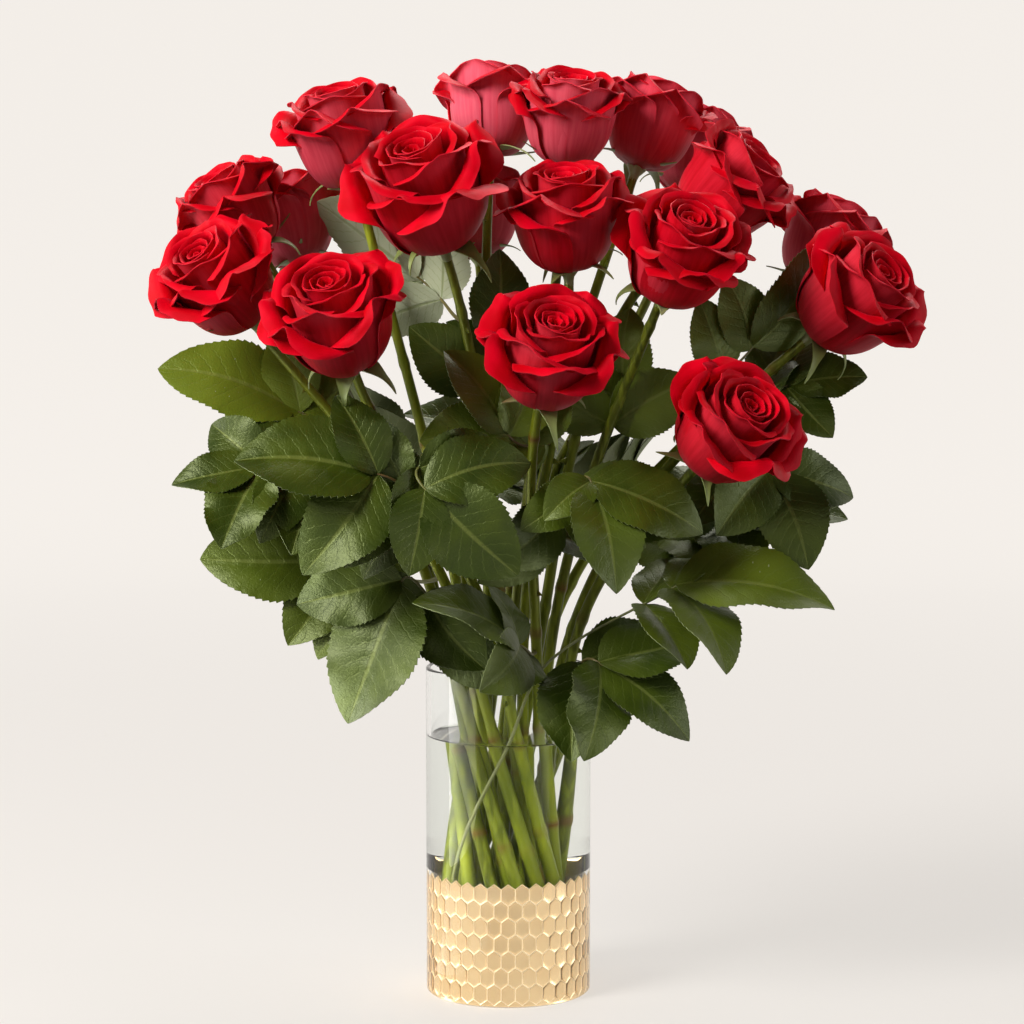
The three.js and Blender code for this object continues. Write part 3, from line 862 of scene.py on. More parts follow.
# %% Leaves: stem, height it leaves it, end of the stalk, tip, facing, side leaflets in mm
LEAVES = [
    (12, 2.65, (-2.10, -2.15, 3.30), (-4.20, -2.30, 3.50), (0.1, -0.95, 0.3), (74, 54, 60, 48, 56, 46)),
    (2, 3.30, (-1.20, -2.52, 3.02), (0.15, -2.52, 1.75), (0.0, -0.9, 0.4), (66, 52, 52, 52, 0, 38, 42, 42)),
    (13, 2.30, (1.30, -2.25, 3.10), (1.67, -3.04, 1.58), (0.2, -0.8, 0.6), (73, 39, 68, 44, 56, 56, 54, 54)),
    (10, 0.75, (-1.70, -1.60, 1.50), (-2.50, -2.10, -0.60), (-0.1, -0.9, 0.4), (0, 66, 59, 54, 56, 0)),
    (13, 0.35, (0.10, -1.62, 0.60), (-1.40, -2.50, 1.40), (0.0, -0.7, 0.7), (54, 44, 40, 0)),
    (0, 0.00, (2.65, -1.60, 1.50), (5.10, -1.85, 1.25), (0.1, -0.6, 0.8), (41, 74, 59, 59)),
    (14, 0.05, (1.50, -1.60, 0.22), (2.84, -1.91, -0.90), (0.3, -0.8, 0.5), (64, 64, 67, 67)),
    (9, 3.70, (-3.45, 0.00, 4.15), (-5.65, 0.00, 4.81), (0.0, -0.9, 0.4), (68, 55, 68, 44, 56, 0)),
    (10, 3.00, (-4.00, -1.05, 3.30), (-5.30, -1.20, 3.05), (-0.1, -0.8, 0.6), (62, 46, 54, 48, 56, 38)),
    (10, 1.55, (-2.75, -0.30, 1.75), (-4.95, -0.41, 1.75), (0.0, -0.9, 0.4), (64, 61, 67, 67, 56, 46)),
    (16, 2.60, (4.20, -0.65, 3.15), (4.75, -1.14, 1.69), (0.3, -0.9, 0.3), (57, 57, 44, 57, 56, 56)),
    (16, 4.10, (4.60, 0.30, 4.55), (5.82, 0.24, 4.67), (0.2, -0.8, 0.6), (42, 47, 57, 44, 0, 46)),
    (6, 4.80, (3.95, 0.00, 5.20), (5.08, 0.27, 6.85), (0.2, -0.9, -0.3), (50, 0, 50, 0)),
    (2, 5.60, (-1.50, 0.90, 6.30), (-3.15, 1.01, 7.51), (0.0, 0.9, 0.4), (56, 51, 56, 56)),
    (2, 4.50, (-0.25, 0.35, 5.10), (-0.13, 0.53, 6.75), (0.2, -0.9, 0.3), (36, 52, 59, 59)),
    (8, 3.65, (-0.05, -1.30, 3.90), (-0.97, -1.30, 5.18), (0.0, -0.8, 0.6), (56, 56, 56, 46, 56, 0, 54, 0)),
    (7, 3.90, (1.90, 0.25, 4.40), (1.96, 0.31, 5.80), (0.0, -0.95, 0.3), (44, 31, 57, 57)),
    (15, 2.15, (3.30, 0.15, 2.45), (5.50, 0.00, 2.40), (0.0, -0.5, 0.9), (64, 69, 67, 67, 56, 56)),
    (11, 2.50, (-2.10, 1.95, 3.22), (-3.69, 2.63, 4.05), (0.0, 0.7, 0.7), (67, 67, 64, 64, 0, 56, 0, 54)),
    (17, 2.80, (-0.15, 2.25, 3.35), (-0.58, 3.77, 4.02), (0.0, 0.5, 0.9), (69, 69, 67, 67, 0, 56)),
    (18, 2.50, (2.10, 2.00, 3.10), (3.32, 3.22, 4.08), (0.2, 0.7, 0.7), (69, 69, 67, 67, 56, 56, 54, 54)),
]
SPRIG_ROUTE = [(-0.78, -0.38, 0.06), (-0.62, -0.68, 0.45), (0.02, -0.88, 0.80), (0.46, -0.80, 1.02)]
SIDE_SPREAD, PAIR_SPACING, PAIR_START = 58, 20 * mm, 4 * mm
STALK_RADIUS = 0.95 * mm
BLADE_WIDTH = 0.70
VEINS = 8


# %% Closed thin sheets
class Shell:
    """Collects thin closed sheets and tubes into one mesh, with uv, tone and side."""

    def __init__(self):
        self.points, self.faces, self.slots = [], [], []
        self.uv, self.side, self.tone, self.size = [], [], [], 0

    def put(self, points, faces, slot, uv, side, tone):
        self.points.append(points)
        self.faces += [tuple(self.size + k for k in face) for face in faces]
        self.slots += [slot] * len(faces)
        self.uv.append(uv)
        self.side.append(np.broadcast_to(side, len(points)))
        self.tone.append(np.broadcast_to(tone, len(points)))
        self.size += len(points)

    def sheet(self, grid, thickness, slot, tone):
        """A closed shell round a grid of points (rows, columns, 3). Its first face is side 1."""
        rows, columns = grid.shape[:2]
        along = np.gradient(grid, axis=0)
        across = np.gradient(grid, axis=1)
        normal = np.cross(across, along)
        normal /= np.maximum(np.linalg.norm(normal, axis=2, keepdims=True), 1e-12)
        half = normal * thickness / 2
        v, u = np.meshgrid(np.linspace(0, 1, rows), np.linspace(0, 1, columns), indexing="ij")
        uv = np.stack([u.ravel(), v.ravel()], 1)
        front, back = (grid + half).reshape(-1, 3), (grid - half).reshape(-1, 3)
        count = rows * columns
        r, c = np.meshgrid(np.arange(rows - 1), np.arange(columns - 1), indexing="ij")
        a = (r * columns + c).ravel()
        quads = np.stack([a, a + 1, a + columns + 1, a + columns], 1)
        faces = [tuple(q) for q in quads]
        faces += [tuple(q[::-1]) for q in quads + count]
        rim = list(range(columns))
        rim += [k * columns + columns - 1 for k in range(1, rows)]
        rim += [(rows - 1) * columns + k for k in range(columns - 2, -1, -1)]
        rim += [k * columns for k in range(rows - 2, 0, -1)]
        for p, q in zip(rim, rim[1:] + rim[:1]):
            faces.append((q, p, p + count, q + count))
        side = np.repeat([1.0, 0.0], count)
        self.put(np.vstack([front, back]), faces, slot, np.vstack([uv, uv]), side, tone)

    def tube(self, line, radii, sides, slot, tone):
        """A closed tube along a line of points."""
        count = len(line)
        ways = np.gradient(line, axis=0)
        ways /= np.linalg.norm(ways, axis=1, keepdims=True)
        normal = np.cross(ways[0], [0.31, 0.62, 0.72])
        points = []
        for place, way, radius in zip(line, ways, np.broadcast_to(radii, count)):
            normal = unit(normal - way * np.dot(normal, way))
            other = np.cross(way, normal)
            a = np.arange(sides)[:, None] * 2 * math.pi / sides
            points.append(place + radius * (np.cos(a) * normal + np.sin(a) * other))
        faces = []
        for row in range(count - 1):
            for k in range(sides):
                n = (k + 1) % sides
                a = row * sides
                faces.append((a + k, a + n, a + sides + n, a + sides + k))
        faces.append(tuple(range(sides - 1, -1, -1)))
        faces.append(tuple((count - 1) * sides + k for k in range(sides)))
        v, u = np.meshgrid(np.linspace(0, 1, count), np.linspace(0, 1, sides), indexing="ij")
        self.put(np.vstack(points), faces, slot, np.stack([u.ravel(), v.ravel()], 1), 0.5, tone)

    def piece(self, name, materials):
        """The finished piece, with its uv map and its tone and side attributes."""
        piece = mesh_object(name, np.vstack(self.points), self.faces, materials, True, self.slots)
        mesh = piece.data
        mesh.set_sharp_from_angle(angle=math.radians(70))
        corner = np.zeros(len(mesh.loops), np.int32)
        mesh.loops.foreach_get("vertex_index", corner)
        mesh.uv_layers.new(name="surface").data.foreach_set("uv", np.vstack(self.uv)[corner].ravel())
        for key, values in (("side", self.side), ("tone", self.tone)):
            mesh.attributes.new(key, "FLOAT", "POINT").data.foreach_set("value", np.concatenate(values))
        return piece


# %% Leaf green
def leaf_material():
    """Dark and glossy above, dull olive below, with pale ribs that follow the leaf."""
    material, tree, shader = new_material(
        "leaf_green", Specular_IOR_Level=0.5, Specular_Tint=(0.62, 0.72, 0.30, 1),
        Coat_Weight=0.10, Coat_Roughness=0.30)
    side = attribute(tree, "side")
    tone = attribute(tree, "tone")
    uv = add_node(tree, "ShaderNodeUVMap", uv_map="surface")
    split = add_node(tree, "ShaderNodeSeparateXYZ")
    tree.links.new(uv.outputs[0], split.inputs[0])
    off = off_middle(tree, split.outputs[0])
    midrib = ramp(tree, off, 0.075, 0.02)
    slanted = math_node(tree, "MULTIPLY_ADD", off, -0.24, split.outputs[1])
    order = math_node(tree, "MULTIPLY", slanted, VEINS + 1.0)
    near = math_node(tree, "ABSOLUTE", math_node(tree, "SUBTRACT", math_node(tree, "FRACT", order), 0.5))
    lateral = math_node(tree, "MULTIPLY", ramp(tree, near, 0.085, 0.015), ramp(tree, off, 1.0, 0.55))
    place = add_node(tree, "ShaderNodeTexCoord").outputs["Object"]
    net = add_node(tree, "ShaderNodeTexVoronoi", feature="DISTANCE_TO_EDGE", i2=420.0)
    tree.links.new(place, net.inputs["Vector"])
    cloud = noise(tree, 38.0, place)
    dark = mix_colour(tree, ramp(tree, cloud, 0.35, 0.7), (0.018, 0.034, 0.002, 1), (0.048, 0.072, 0.005, 1))
    young = mix_colour(tree, tone, dark, (0.22, 0.29, 0.020, 1))
    veined = mix_colour(tree, math_node(tree, "MULTIPLY", lateral, 0.18), young, (0.13, 0.17, 0.035, 1))
    top = mix_colour(tree, math_node(tree, "MULTIPLY", midrib, 0.42), veined, (0.22, 0.26, 0.06, 1))
    pale = mix_colour(tree, ramp(tree, cloud, 0.3, 0.7), (0.115, 0.145, 0.045, 1), (0.200, 0.230, 0.095, 1))
    pale = mix_colour(tree, tone, pale, (0.50, 0.54, 0.38, 1))
    ribs = math_node(tree, "MAXIMUM", midrib, math_node(tree, "MULTIPLY", lateral, 0.5))
    under = mix_colour(tree, ribs, pale, (0.26, 0.30, 0.15, 1))
    tree.links.new(mix_colour(tree, side, under, top), shader.inputs["Base Color"])
    rough = math_node(tree, "MULTIPLY_ADD", side, -0.27, 0.60)
    rough = math_node(tree, "MULTIPLY_ADD", cloud, 0.1, rough)
    tree.links.new(rough, shader.inputs["Roughness"])
    veins = math_node(tree, "MULTIPLY", lateral, -0.6)
    height = math_node(tree, "ADD", veins, math_node(tree, "MULTIPLY", midrib, -1.0))
    mesh_of_veins = math_node(tree, "MULTIPLY", ramp(tree, net.outputs["Distance"], 0.0, 0.25), 0.35)
    add_bump(tree, shader, math_node(tree, "ADD", height, mesh_of_veins), 0.5, 0.35 * mm)
    return material


def stalk_material():
    """Green leaf stalks, reddish-brown where the tone is high."""
    material, tree, shader = new_material("leaf_stalk", Roughness=0.45)
    cloud = noise(tree, 60.0, add_node(tree, "ShaderNodeTexCoord").outputs["Object"])
    green = mix_colour(tree, cloud, (0.10, 0.15, 0.028, 1), (0.24, 0.30, 0.06, 1))
    brown = mix_colour(tree, attribute(tree, "tone"), green, (0.13, 0.032, 0.014, 1))
    tree.links.new(brown, shader.inputs["Base Color"])
    return material


leaf_green = leaf_material()
stalk_skin = stalk_material()


# %% One leaflet
def leaflet(shell, start, end, up, rng, tone):
    """A toothed, folded and quilted blade from start to end."""
    teeth, columns = 20, 11
    length = np.linalg.norm(end - start)
    along = (end - start) / length
    up = unit(up - along * np.dot(up, along))
    side = np.cross(along, up)
    roll = rng.uniform(-0.42, 0.42)
    up, side = up * math.cos(roll) + side * math.sin(roll), side * math.cos(roll) - up * math.sin(roll)
    steps = (np.arange(teeth)[:, None] + np.array([0.0, 0.5, 0.88])).ravel() / teeth
    t = np.append(steps, 1.0)[:, None]
    tooth = np.append(np.tile([0.0, 0.5, 1.0], teeth), 0.0)[:, None]
    s = np.linspace(-1, 1, columns)[None, :]
    rise, fall = 0.60, 0.82
    peak = (rise / (rise + fall)) ** rise * (fall / (rise + fall)) ** fall
    outline = np.clip(t, 1e-4, 1) ** rise * np.clip(1 - t, 1e-4, 1) ** fall / peak
    edge = np.abs(s) ** 6
    width = BLADE_WIDTH * rng.uniform(0.88, 1.04) * length / 2
    x = s * width * outline * (1 + edge * (0.050 * tooth - 0.02))
    fold = rng.uniform(0.08, 0.42)
    droop = rng.uniform(0.7, 1.7)
    twist = rng.uniform(-0.45, 0.45)
    wave = rng.uniform(0.015, 0.050) * length
    phase, beats = rng.uniform(0, 6.28), rng.uniform(1.2, 2.3)
    rise_mid = 0.30 * length * (t - t * t) * droop - 0.10 * length * (droop - 1) * t
    order = (t - 0.24 * np.abs(s)) * (VEINS + 1)
    inward = np.minimum(1, 3 * np.abs(s)) * (1 - np.abs(s) ** 3)
    quilt = np.cos(2 * math.pi * (order - 0.5)) * 0.0055 * length * inward
    z = rise_mid + fold * np.abs(x) - 0.45 * fold * x * x / max(width, 1e-6)
    z = z + twist * x * t + wave * np.sin(beats * 2 * math.pi * t + phase + s) * s * s * outline
    z = z - quilt * np.sqrt(outline)
    y = t * length + 0 * x
    curl = rng.uniform(-0.05, 0.05) * length * np.sin(math.pi * t)
    grid = start + along * y[..., None] + side * (x + curl)[..., None] + up * z[..., None]
    shell.sheet(grid, 0.42 * mm, 0, tone)


# %% The way of a leaf stalk
def catmull_rom(points, count):
    """A smooth centripetal curve through the points."""
    p = np.array(points, float)
    p = np.vstack([2 * p[0] - p[1], p, 2 * p[-1] - p[-2]])
    line = []
    for i in range(1, len(p) - 2):
        knots = [0.0]
        for a, b in zip(p[i - 1:i + 2], p[i:i + 3]):
            knots.append(knots[-1] + math.sqrt(np.linalg.norm(b - a)))
        k0, k1, k2, k3 = knots
        for t in np.linspace(k1, k2, count, endpoint=i == len(p) - 3):
            a1 = ((k1 - t) * p[i - 1] + (t - k0) * p[i]) / (k1 - k0)
            a2 = ((k2 - t) * p[i] + (t - k1) * p[i + 1]) / (k2 - k1)
            a3 = ((k3 - t) * p[i + 1] + (t - k2) * p[i + 2]) / (k3 - k2)
            b1 = ((k2 - t) * a1 + (t - k0) * a2) / (k2 - k0)
            b2 = ((k3 - t) * a2 + (t - k1) * a3) / (k3 - k1)
            line.append(((k2 - t) * b1 + (t - k1) * b2) / (k2 - k1))
    return np.array(line)


def stalk_line(leaf):
    """The middle line of a leaf's stalk, from its stem or from the water to its end."""
    stem, height, junction, tip = leaf[:4]
    end = crown(junction)
    if stem == 0:
        ring = INNER - 2 * CLEARANCE - 1.2 * mm
        route = [(x * ring, y * ring, z * VASE_HEIGHT) for x, y, z in SPRIG_ROUTE]
        return catmull_rom(route + [tuple(end)], 14)
    line = LINES[stem - 1][0]
    level = VASE_HEIGHT + height * BLOOM_RADIUS
    k = int(np.argmax(line[:, 2] > level))
    share = (level - line[k - 1, 2]) / (line[k, 2] - line[k - 1, 2])
    at = line[k - 1] + (line[k] - line[k - 1]) * share
    along = unit(line[k] - line[k - 1])
    out = end - at
    reach = np.linalg.norm(out)
    out = unit(out - along * np.dot(out, along))
    direction = unit(crown(tip) - end)
    start = at + out * STEM_RADIUS * 0.8
    return bezier(start, start + out * 0.3 * reach, end - direction * 0.4 * reach, end, 22)


def back_along(line, length):
    """The place a given length before the end of a line."""
    for a, b in zip(line[::-1], line[-2::-1]):
        run = np.linalg.norm(b - a)
        if length <= run:
            return a + (b - a) * length / run
        length -= run
    return line[0]


# %% Grow the leaves
YOUNG = {14: 0.75, 8: 0.50, 5: 0.14, 16: 0.35, 3: 0.08, 6: 0.30, 17: 0.30, 10: 0.22, 13: 0.25, 18: 0.12}


def build_leaf(number, leaf):
    """A leaf's stalk and leaflets in one piece."""
    junction, tip, facing, sides = leaf[2:]
    rng = np.random.default_rng(SEED * 100 + number)
    line = stalk_line(leaf)
    end, point = crown(junction), crown(tip)
    direction = unit(point - end)
    up = unit(facing)
    up = unit(up - direction * np.dot(up, direction))
    shell = Shell()
    thin = STALK_RADIUS * np.linspace(1.35, 0.75, len(line))
    thin[:2] *= 1.25
    shell.tube(line, thin, 8, 1, 0.25 + 0.5 * rng.random())
    base_tone = YOUNG.get(number, 0.0)
    leaflet(shell, end - direction * mm, point, up, rng, base_tone + 0.05 * rng.random())
    for k, span in enumerate(sides):
        if not span:
            continue
        at = back_along(line, PAIR_START + PAIR_SPACING * (k // 2))
        angle = math.radians(SIDE_SPREAD if k % 2 == 0 else -SIDE_SPREAD)
        way = direction * math.cos(angle) + np.cross(up, direction) * math.sin(angle)
        leaflet(shell, at, at + way * span * mm, up, rng, base_tone + 0.06 * rng.random())
    piece = shell.piece(f"rose_leaf_{number:02d}", [leaf_green, stalk_skin])
    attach(piece, "root")
    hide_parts(f"leaf_{number:02d}")
    return len(piece.data.polygons)


print("leaves:", sum(build_leaf(i + 1, leaf) for i, leaf in enumerate(LEAVES)), "faces")

# %% [markdown]
# ## The flowers
# An open rose has its petals on a spiral, twenty-three here. The heart is a tight whorl of narrow
# upright petals, the middle ones stand as cups, and the outer ones lean out and roll their
# upper corners back, which leaves a point between two rolled edges. Each petal here is a
# flat outline that is first rolled along two slanted fold lines and then bent round its
# own cup, a turned profile. One function makes them all, from heart to outside: only its
# sizes change. The backs are paler than the velvety insides, partly by a painted sheen that
# is strongest on some flowers, and a painted highlight brightens the thin edges.
# Under the petals sits the calyx: a small bulb on the stem, and five narrow sepals.


# %% Petal red
def petal_material():
    """Deep red velvet inside, streaked outside and paler there partly by a painted sheen, with a painted
    highlight along the edge.
    """
    material, tree, shader = new_material(
        "rose_petal", Roughness=0.52, Specular_IOR_Level=0.22, Specular_Tint=(1.0, 0.08, 0.16, 1),
        Sheen_Weight=0.10, Sheen_Roughness=0.38, Sheen_Tint=(1.0, 0.10, 0.24, 1))
    uv = add_node(tree, "ShaderNodeUVMap", uv_map="surface")
    split = add_node(tree, "ShaderNodeSeparateXYZ")
    tree.links.new(uv.outputs[0], split.inputs[0])
    place = add_node(tree, "ShaderNodeTexCoord").outputs["Object"]
    cloud = noise(tree, 55.0, place)
    stretch = add_node(tree, "ShaderNodeMapping")
    stretch.inputs["Scale"].default_value = (22, 2.0, 1)
    tree.links.new(uv.outputs[0], stretch.inputs["Vector"])
    streaks = add_node(tree, "ShaderNodeTexNoise", i2=1.0, i3=4.0)
    tree.links.new(stretch.outputs[0], streaks.inputs["Vector"])
    streak = streaks.outputs["Fac"]
    inside = mix_colour(tree, ramp(tree, cloud, 0.3, 0.7), (0.56, 0.0002, 0.005, 1), (0.78, 0.0004, 0.014, 1))
    outside = mix_colour(
        tree, ramp(tree, streak, 0.32, 0.68), (0.54, 0.0010, 0.008, 1), (0.66, 0.0040, 0.018, 1))
    # Painted sheen: the backs turn a paler, rosier red as the tone rises, most on some flowers.
    rosy_painted_sheen = mix_colour(tree, ramp(tree, streak, 0.2, 0.8), (0.74, 0.080, 0.13, 1), (0.84, 0.145, 0.20, 1))
    back = mix_colour(tree, attribute(tree, "tone"), outside, rosy_painted_sheen)
    colour = mix_colour(tree, attribute(tree, "side"), inside, back)
    # Painted highlight: a brighter red along the side edges and the lip of each petal.
    edge = ramp(tree, off_middle(tree, split.outputs[0]), 0.94, 1.0)
    rim = math_node(tree, "MAXIMUM", ramp(tree, split.outputs[1], 0.955, 1.0), edge)
    edge_highlighted = mix_colour(tree, math_node(tree, "MULTIPLY", rim, 0.22), colour, (0.80, 0.020, 0.040, 1))
    # Darker and browner towards each petal's base.
    towards_base = ramp(tree, split.outputs[1], 0.0, 0.22)
    tree.links.new(mix_colour(tree, towards_base, (0.36, 0.03, 0.02, 1), edge_highlighted), shader.inputs["Base Color"])
    velvet = math_node(tree, "MULTIPLY", noise(tree, 1500.0, place), 0.10)
    add_bump(tree, shader, math_node(tree, "ADD", streak, velvet), 0.10, 0.5 * mm)
    return material


def calyx_material():
    """Fresh light green sepals and the bulb under the flower."""
    material, tree, shader = new_material("calyx_green", Roughness=0.5, Sheen_Weight=0.15)
    cloud = noise(tree, 120.0, add_node(tree, "ShaderNodeTexCoord").outputs["Object"])
    green = mix_colour(tree, cloud, (0.14, 0.20, 0.018, 1), (0.28, 0.36, 0.050, 1))
    colour = mix_colour(tree, attribute(tree, "tone"), green, (0.36, 0.42, 0.16, 1))
    tree.links.new(colour, shader.inputs["Base Color"])
    add_bump(tree, shader, cloud, 0.3, 0.3 * mm)
    return material


petal_red = petal_material()
calyx_green = calyx_material()
TALL = BLOOM_HEIGHT / BLOOM_RADIUS


# %% One petal, in bloom radii
def cup_profile(start, belly, top, height):
    """The petal's middle line, (radius, height) against its length, from base to lip."""
    base = 0.16
    keys = []
    for level, share in ((0.03, 0.0), (0.10, 0.52), (0.26, 0.84), (0.48, 1.0)):
        if level > start:
            keys.append((base + (belly - base) * share, level * TALL))
    rest = height - 0.48
    keys.append((belly + (top - belly) * 0.30, (0.48 + rest * 0.52) * TALL))
    keys.append((top, height * TALL))
    keys.append((top + (top - belly) * 0.9 + 0.02, (height + rest * 0.5) * TALL))
    line = catmull_rom(keys, 12)
    last = int(np.argmin(np.abs(line[:, 1] - height * TALL) + np.abs(line[:, 0] - top)))
    length = np.append(0, np.cumsum(np.linalg.norm(np.diff(line, axis=0), axis=1)))
    way = np.gradient(line, axis=0)
    way /= np.linalg.norm(way, axis=1, keepdims=True)
    return line, length, way, length[last]


def petal(rng, turn, start, belly, top, height, spread, drop, roll, roll_from, slope, most,
          ripple, rows, columns):
    """A grid of points of one petal.

    turn: the direction it stands in; start, height: the levels of its base and lip, as a
    share of the flower's; belly, top: its radius at the cup and at the lip; spread: its half
    width as an angle; drop: how far its shoulders fall; roll: the radius of the rolled lip;
    roll_from: the share of the length where the lip begins; slope: how steep the two fold
    lines are; most: the greatest roll; ripple: how wavy the edge is.
    """
    line, length, way, reach = cup_profile(start, belly, top, height)
    t = np.linspace(0, 1, rows)[:, None] ** 0.85
    s = np.linspace(-1, 1, columns)[None, :]
    lean = rng.uniform(-0.12, 0.12)
    shoulder = 1 - drop * np.abs(s + lean) ** 2.6 / 1.3
    y = reach * t * shoulder
    wide = 0.34 + 0.66 * np.sin(np.clip(t * 1.25, 0, 1) * math.pi / 2)
    x = s * wide * (1 - 0.10 * t ** 6) * spread * belly
    x = x + 0.02 * belly * np.sin(5 * t + rng.uniform(0, 6)) * spread
    middle = np.sqrt(x * x + (0.05 * belly) ** 2) - 0.05 * belly
    norm = math.sqrt(1 + slope * slope)
    beyond = np.maximum((y - reach * roll_from + slope * middle) / norm, 0)
    angle = np.minimum(beyond / roll, most)
    straight = np.maximum(beyond - most * roll, 0)
    ahead = roll * np.sin(angle) + straight * np.cos(angle)
    lift = roll * (1 - np.cos(angle)) + straight * np.sin(angle)
    towards = np.sign(x) * slope / norm * np.minimum(1, np.abs(x) / (0.12 * belly))
    fx = x - (beyond - ahead) * towards
    fy = y - (beyond - ahead) / norm
    phase = rng.uniform(0, 6.28, 4)
    margin = np.maximum(t ** 4, np.abs(s) ** 6 * t)
    lift = lift + ripple * margin * np.sin(s * rng.uniform(4, 7) + phase[0])
    lift = lift + 0.5 * ripple * margin * np.sin(s * 13 + phase[1])
    lift = lift + 0.014 * np.sin(3.1 * s + phase[2]) * np.sin(4 * t + phase[3])
    r = np.interp(fy, length, line[:, 0])
    z = np.interp(fy, length, line[:, 1])
    wr = np.interp(fy, length, way[:, 0])
    wz = np.interp(fy, length, way[:, 1])
    theta = turn + fx / np.maximum(r, 0.55 * belly)
    r = r + 0.022 * s * (0.4 + t)
    r, z = r + lift * wz, z - lift * wr
    return np.stack([r * np.cos(theta), r * np.sin(theta), z], axis=2)


# %% A whole flower's petals
GOLDEN = math.radians(137.5)


def flower_grids(rng, openness):
    """Every petal of a flower, from the heart outwards, each as a grid of points."""
    grids = []
    turn = rng.uniform(0, 6.28)
    heart, middle, outer = 9, 7, 7
    for k in range(heart):
        share = k / (heart - 1)
        belly = 0.060 + 0.31 * share ** 0.95
        turn += GOLDEN + rng.uniform(-0.12, 0.12)
        grids.append(petal(
            rng, turn, 0.40, belly, belly * (0.80 + 0.18 * share) + 0.012,
            0.90 + 0.075 * share + rng.uniform(-0.010, 0.010),
            2.35 - 0.75 * share, 0.05 + 0.06 * share, 0.026 + 0.026 * share, 0.955, 0.14, 1.5 + 0.5 * share,
            0.012, 13, 25))
    for k in range(middle):
        share = k / (middle - 1)
        belly = 0.415 + 0.275 * share
        turn += GOLDEN + rng.uniform(-0.15, 0.15)
        grids.append(petal(
            rng, turn, 0.20, belly, belly * (1.0 + 0.10 * openness * share),
            0.985 - 0.03 * share + rng.uniform(-0.02, 0.015),
            1.35 - 0.24 * share, 0.10 + 0.08 * share, 0.060 + 0.050 * share, 0.94 - 0.03 * share,
            0.22 + 0.26 * share, 1.6 + 0.5 * share, 0.020, 17, 23))
    for k in range(outer):
        share = k / (outer - 1)
        belly = 0.725 + 0.085 * share
        turn += GOLDEN + rng.uniform(-0.18, 0.18)
        flare = 1.02 + (0.06 + 0.16 * share) * openness
        grids.append(petal(
            rng, turn, 0.0, belly, belly * flare,
            0.955 - 0.10 * share * openness + rng.uniform(-0.03, 0.02),
            1.08 - 0.06 * share, 0.16 + 0.08 * rng.random(), 0.115 + 0.055 * share,
            0.90 - 0.08 * rng.random(), rng.uniform(0.45, 0.85), 1.6 + 0.6 * rng.random(),
            0.030 + 0.016 * share, 21, 25))
    return grids


def sepal_grid(rng, turn):
    """A narrow pointed sepal that leaves the bulb and curls down or away."""
    rows, columns = 14, 5
    length = rng.uniform(0.62, 1.0)
    first = rng.uniform(0.1, 0.9)
    last = first - rng.uniform(1.3, 2.6) if rng.random() < 0.75 else first + rng.uniform(-0.5, 0.3)
    t = np.linspace(0, 1, rows)
    angle = first + (last - first) * t ** 1.2
    step = length / (rows - 1)
    r = 0.145 + np.append(0, np.cumsum(np.cos(angle[:-1]))) * step
    z = 0.05 + np.append(0, np.cumsum(np.sin(angle[:-1]))) * step
    shoulders = 0.75 + 0.9 * np.sin(math.pi * np.minimum(1, t * 1.6)) * (1 - t)
    width = 0.135 * (1 - t) ** 0.8 * shoulders + 0.004
    s = np.linspace(-1, 1, columns)
    side = s[None, :] * width[:, None]
    dip = 0.5 * np.abs(side) ** 1.3
    swing = rng.uniform(-0.25, 0.25) * t[:, None] ** 2 * length
    rr = r[:, None] - dip * np.sin(angle)[:, None]
    zz = z[:, None] + dip * np.cos(angle)[:, None]
    across = side + swing
    x = rr * math.cos(turn) - across * math.sin(turn)
    y = rr * math.sin(turn) + across * math.cos(turn)
    return np.stack([x, y, zz], axis=2)


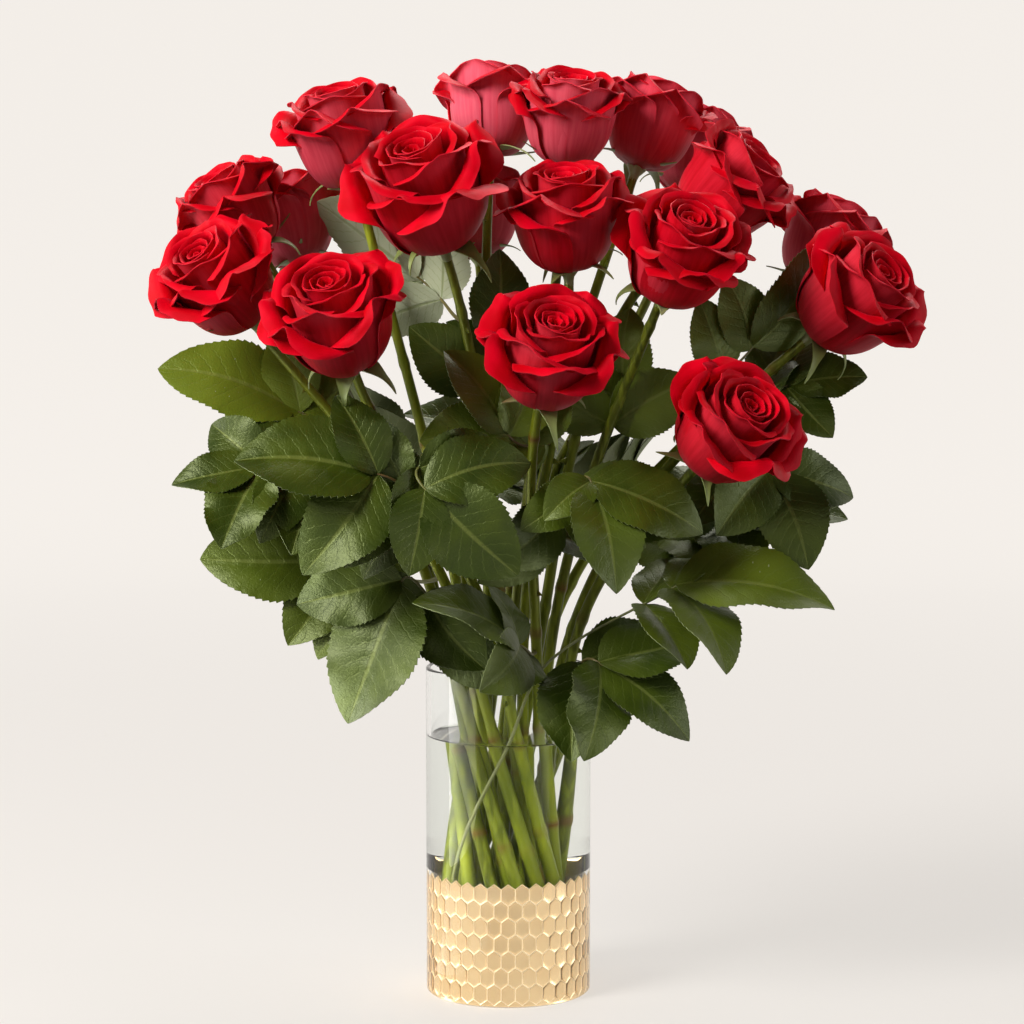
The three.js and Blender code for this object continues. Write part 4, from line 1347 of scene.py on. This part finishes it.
# %% Place the flowers
OPENNESS = {1: 0.75, 2: 1.45, 3: 0.55, 4: 0.75, 5: 0.85, 6: 1.1, 7: 1.1, 8: 1.0, 9: 0.9, 10: 1.05,
            11: 0.6, 12: 1.2, 13: 1.2, 14: 1.35, 15: 0.8, 16: 1.15, 17: 0.6, 18: 0.7}
# How much painted sheen the petal backs of each flower carry; the rest take 0.12.
PAINTED_SHEEN_BACK = {1: 0.55, 3: 0.95, 4: 0.75, 5: 0.45, 9: 0.25, 11: 0.85, 15: 0.5, 17: 0.9, 18: 0.8}


def onto_axis(points, base, axis, scale):
    """Turns +Z onto the flower's axis the short way, and moves its base into place."""
    turn = np.array(Vector((0, 0, 1)).rotation_difference(Vector(axis)).to_matrix())
    return points @ turn.T * scale + base


def build_flower(number, rose, base, axis):
    """A flower's petals in one piece, and its bulb and sepals in another."""
    rng = np.random.default_rng(SEED * 1000 + number)
    scale = BLOOM_RADIUS * rose[2]
    shell = Shell()
    # The amount of painted sheen on this flower's petal backs, varied a little for each petal below.
    pale = PAINTED_SHEEN_BACK.get(number, 0.12)
    for grid in flower_grids(rng, OPENNESS[number]):
        tone = float(np.clip(pale + rng.uniform(-0.12, 0.12), 0, 1))
        shell.sheet(onto_axis(grid, base, axis, scale), 0.55 * mm, 0, tone)
    petals = shell.piece(f"rose_petals_{number:02d}", [petal_red])
    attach(petals, "root")
    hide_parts(f"bloom_{number:02d}")
    green = Shell()
    levels = np.array([-9, -6, -3.5, -1.5, 0.5, 2.5, 4.5, 6.0, 7.0]) * mm
    radii = np.array([2.9, 3.0, 3.5, 4.9, 6.3, 7.0, 6.8, 5.6, 3.0]) * mm * (0.5 + 0.5 * rose[2])
    middle = base + levels[:, None] * axis
    green.tube(middle, radii, 20, 0, 0.62)
    first = rng.uniform(0, 6.28)
    for k in range(5):
        grid = sepal_grid(rng, first + k * 2 * math.pi / 5 + rng.uniform(-0.25, 0.25))
        green.sheet(onto_axis(grid, base, axis, scale), 0.6 * mm, 0, rng.uniform(0.1, 0.45))
    calyx = green.piece(f"calyx_{number:02d}", [calyx_green])
    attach(calyx, "root")
    return len(petals.data.polygons)


total = 0
for i, (_, base, axis) in enumerate(LINES):
    total += build_flower(i + 1, ROSES[i], base, axis)
print("flowers:", len(ROSES), "with", total, "faces")
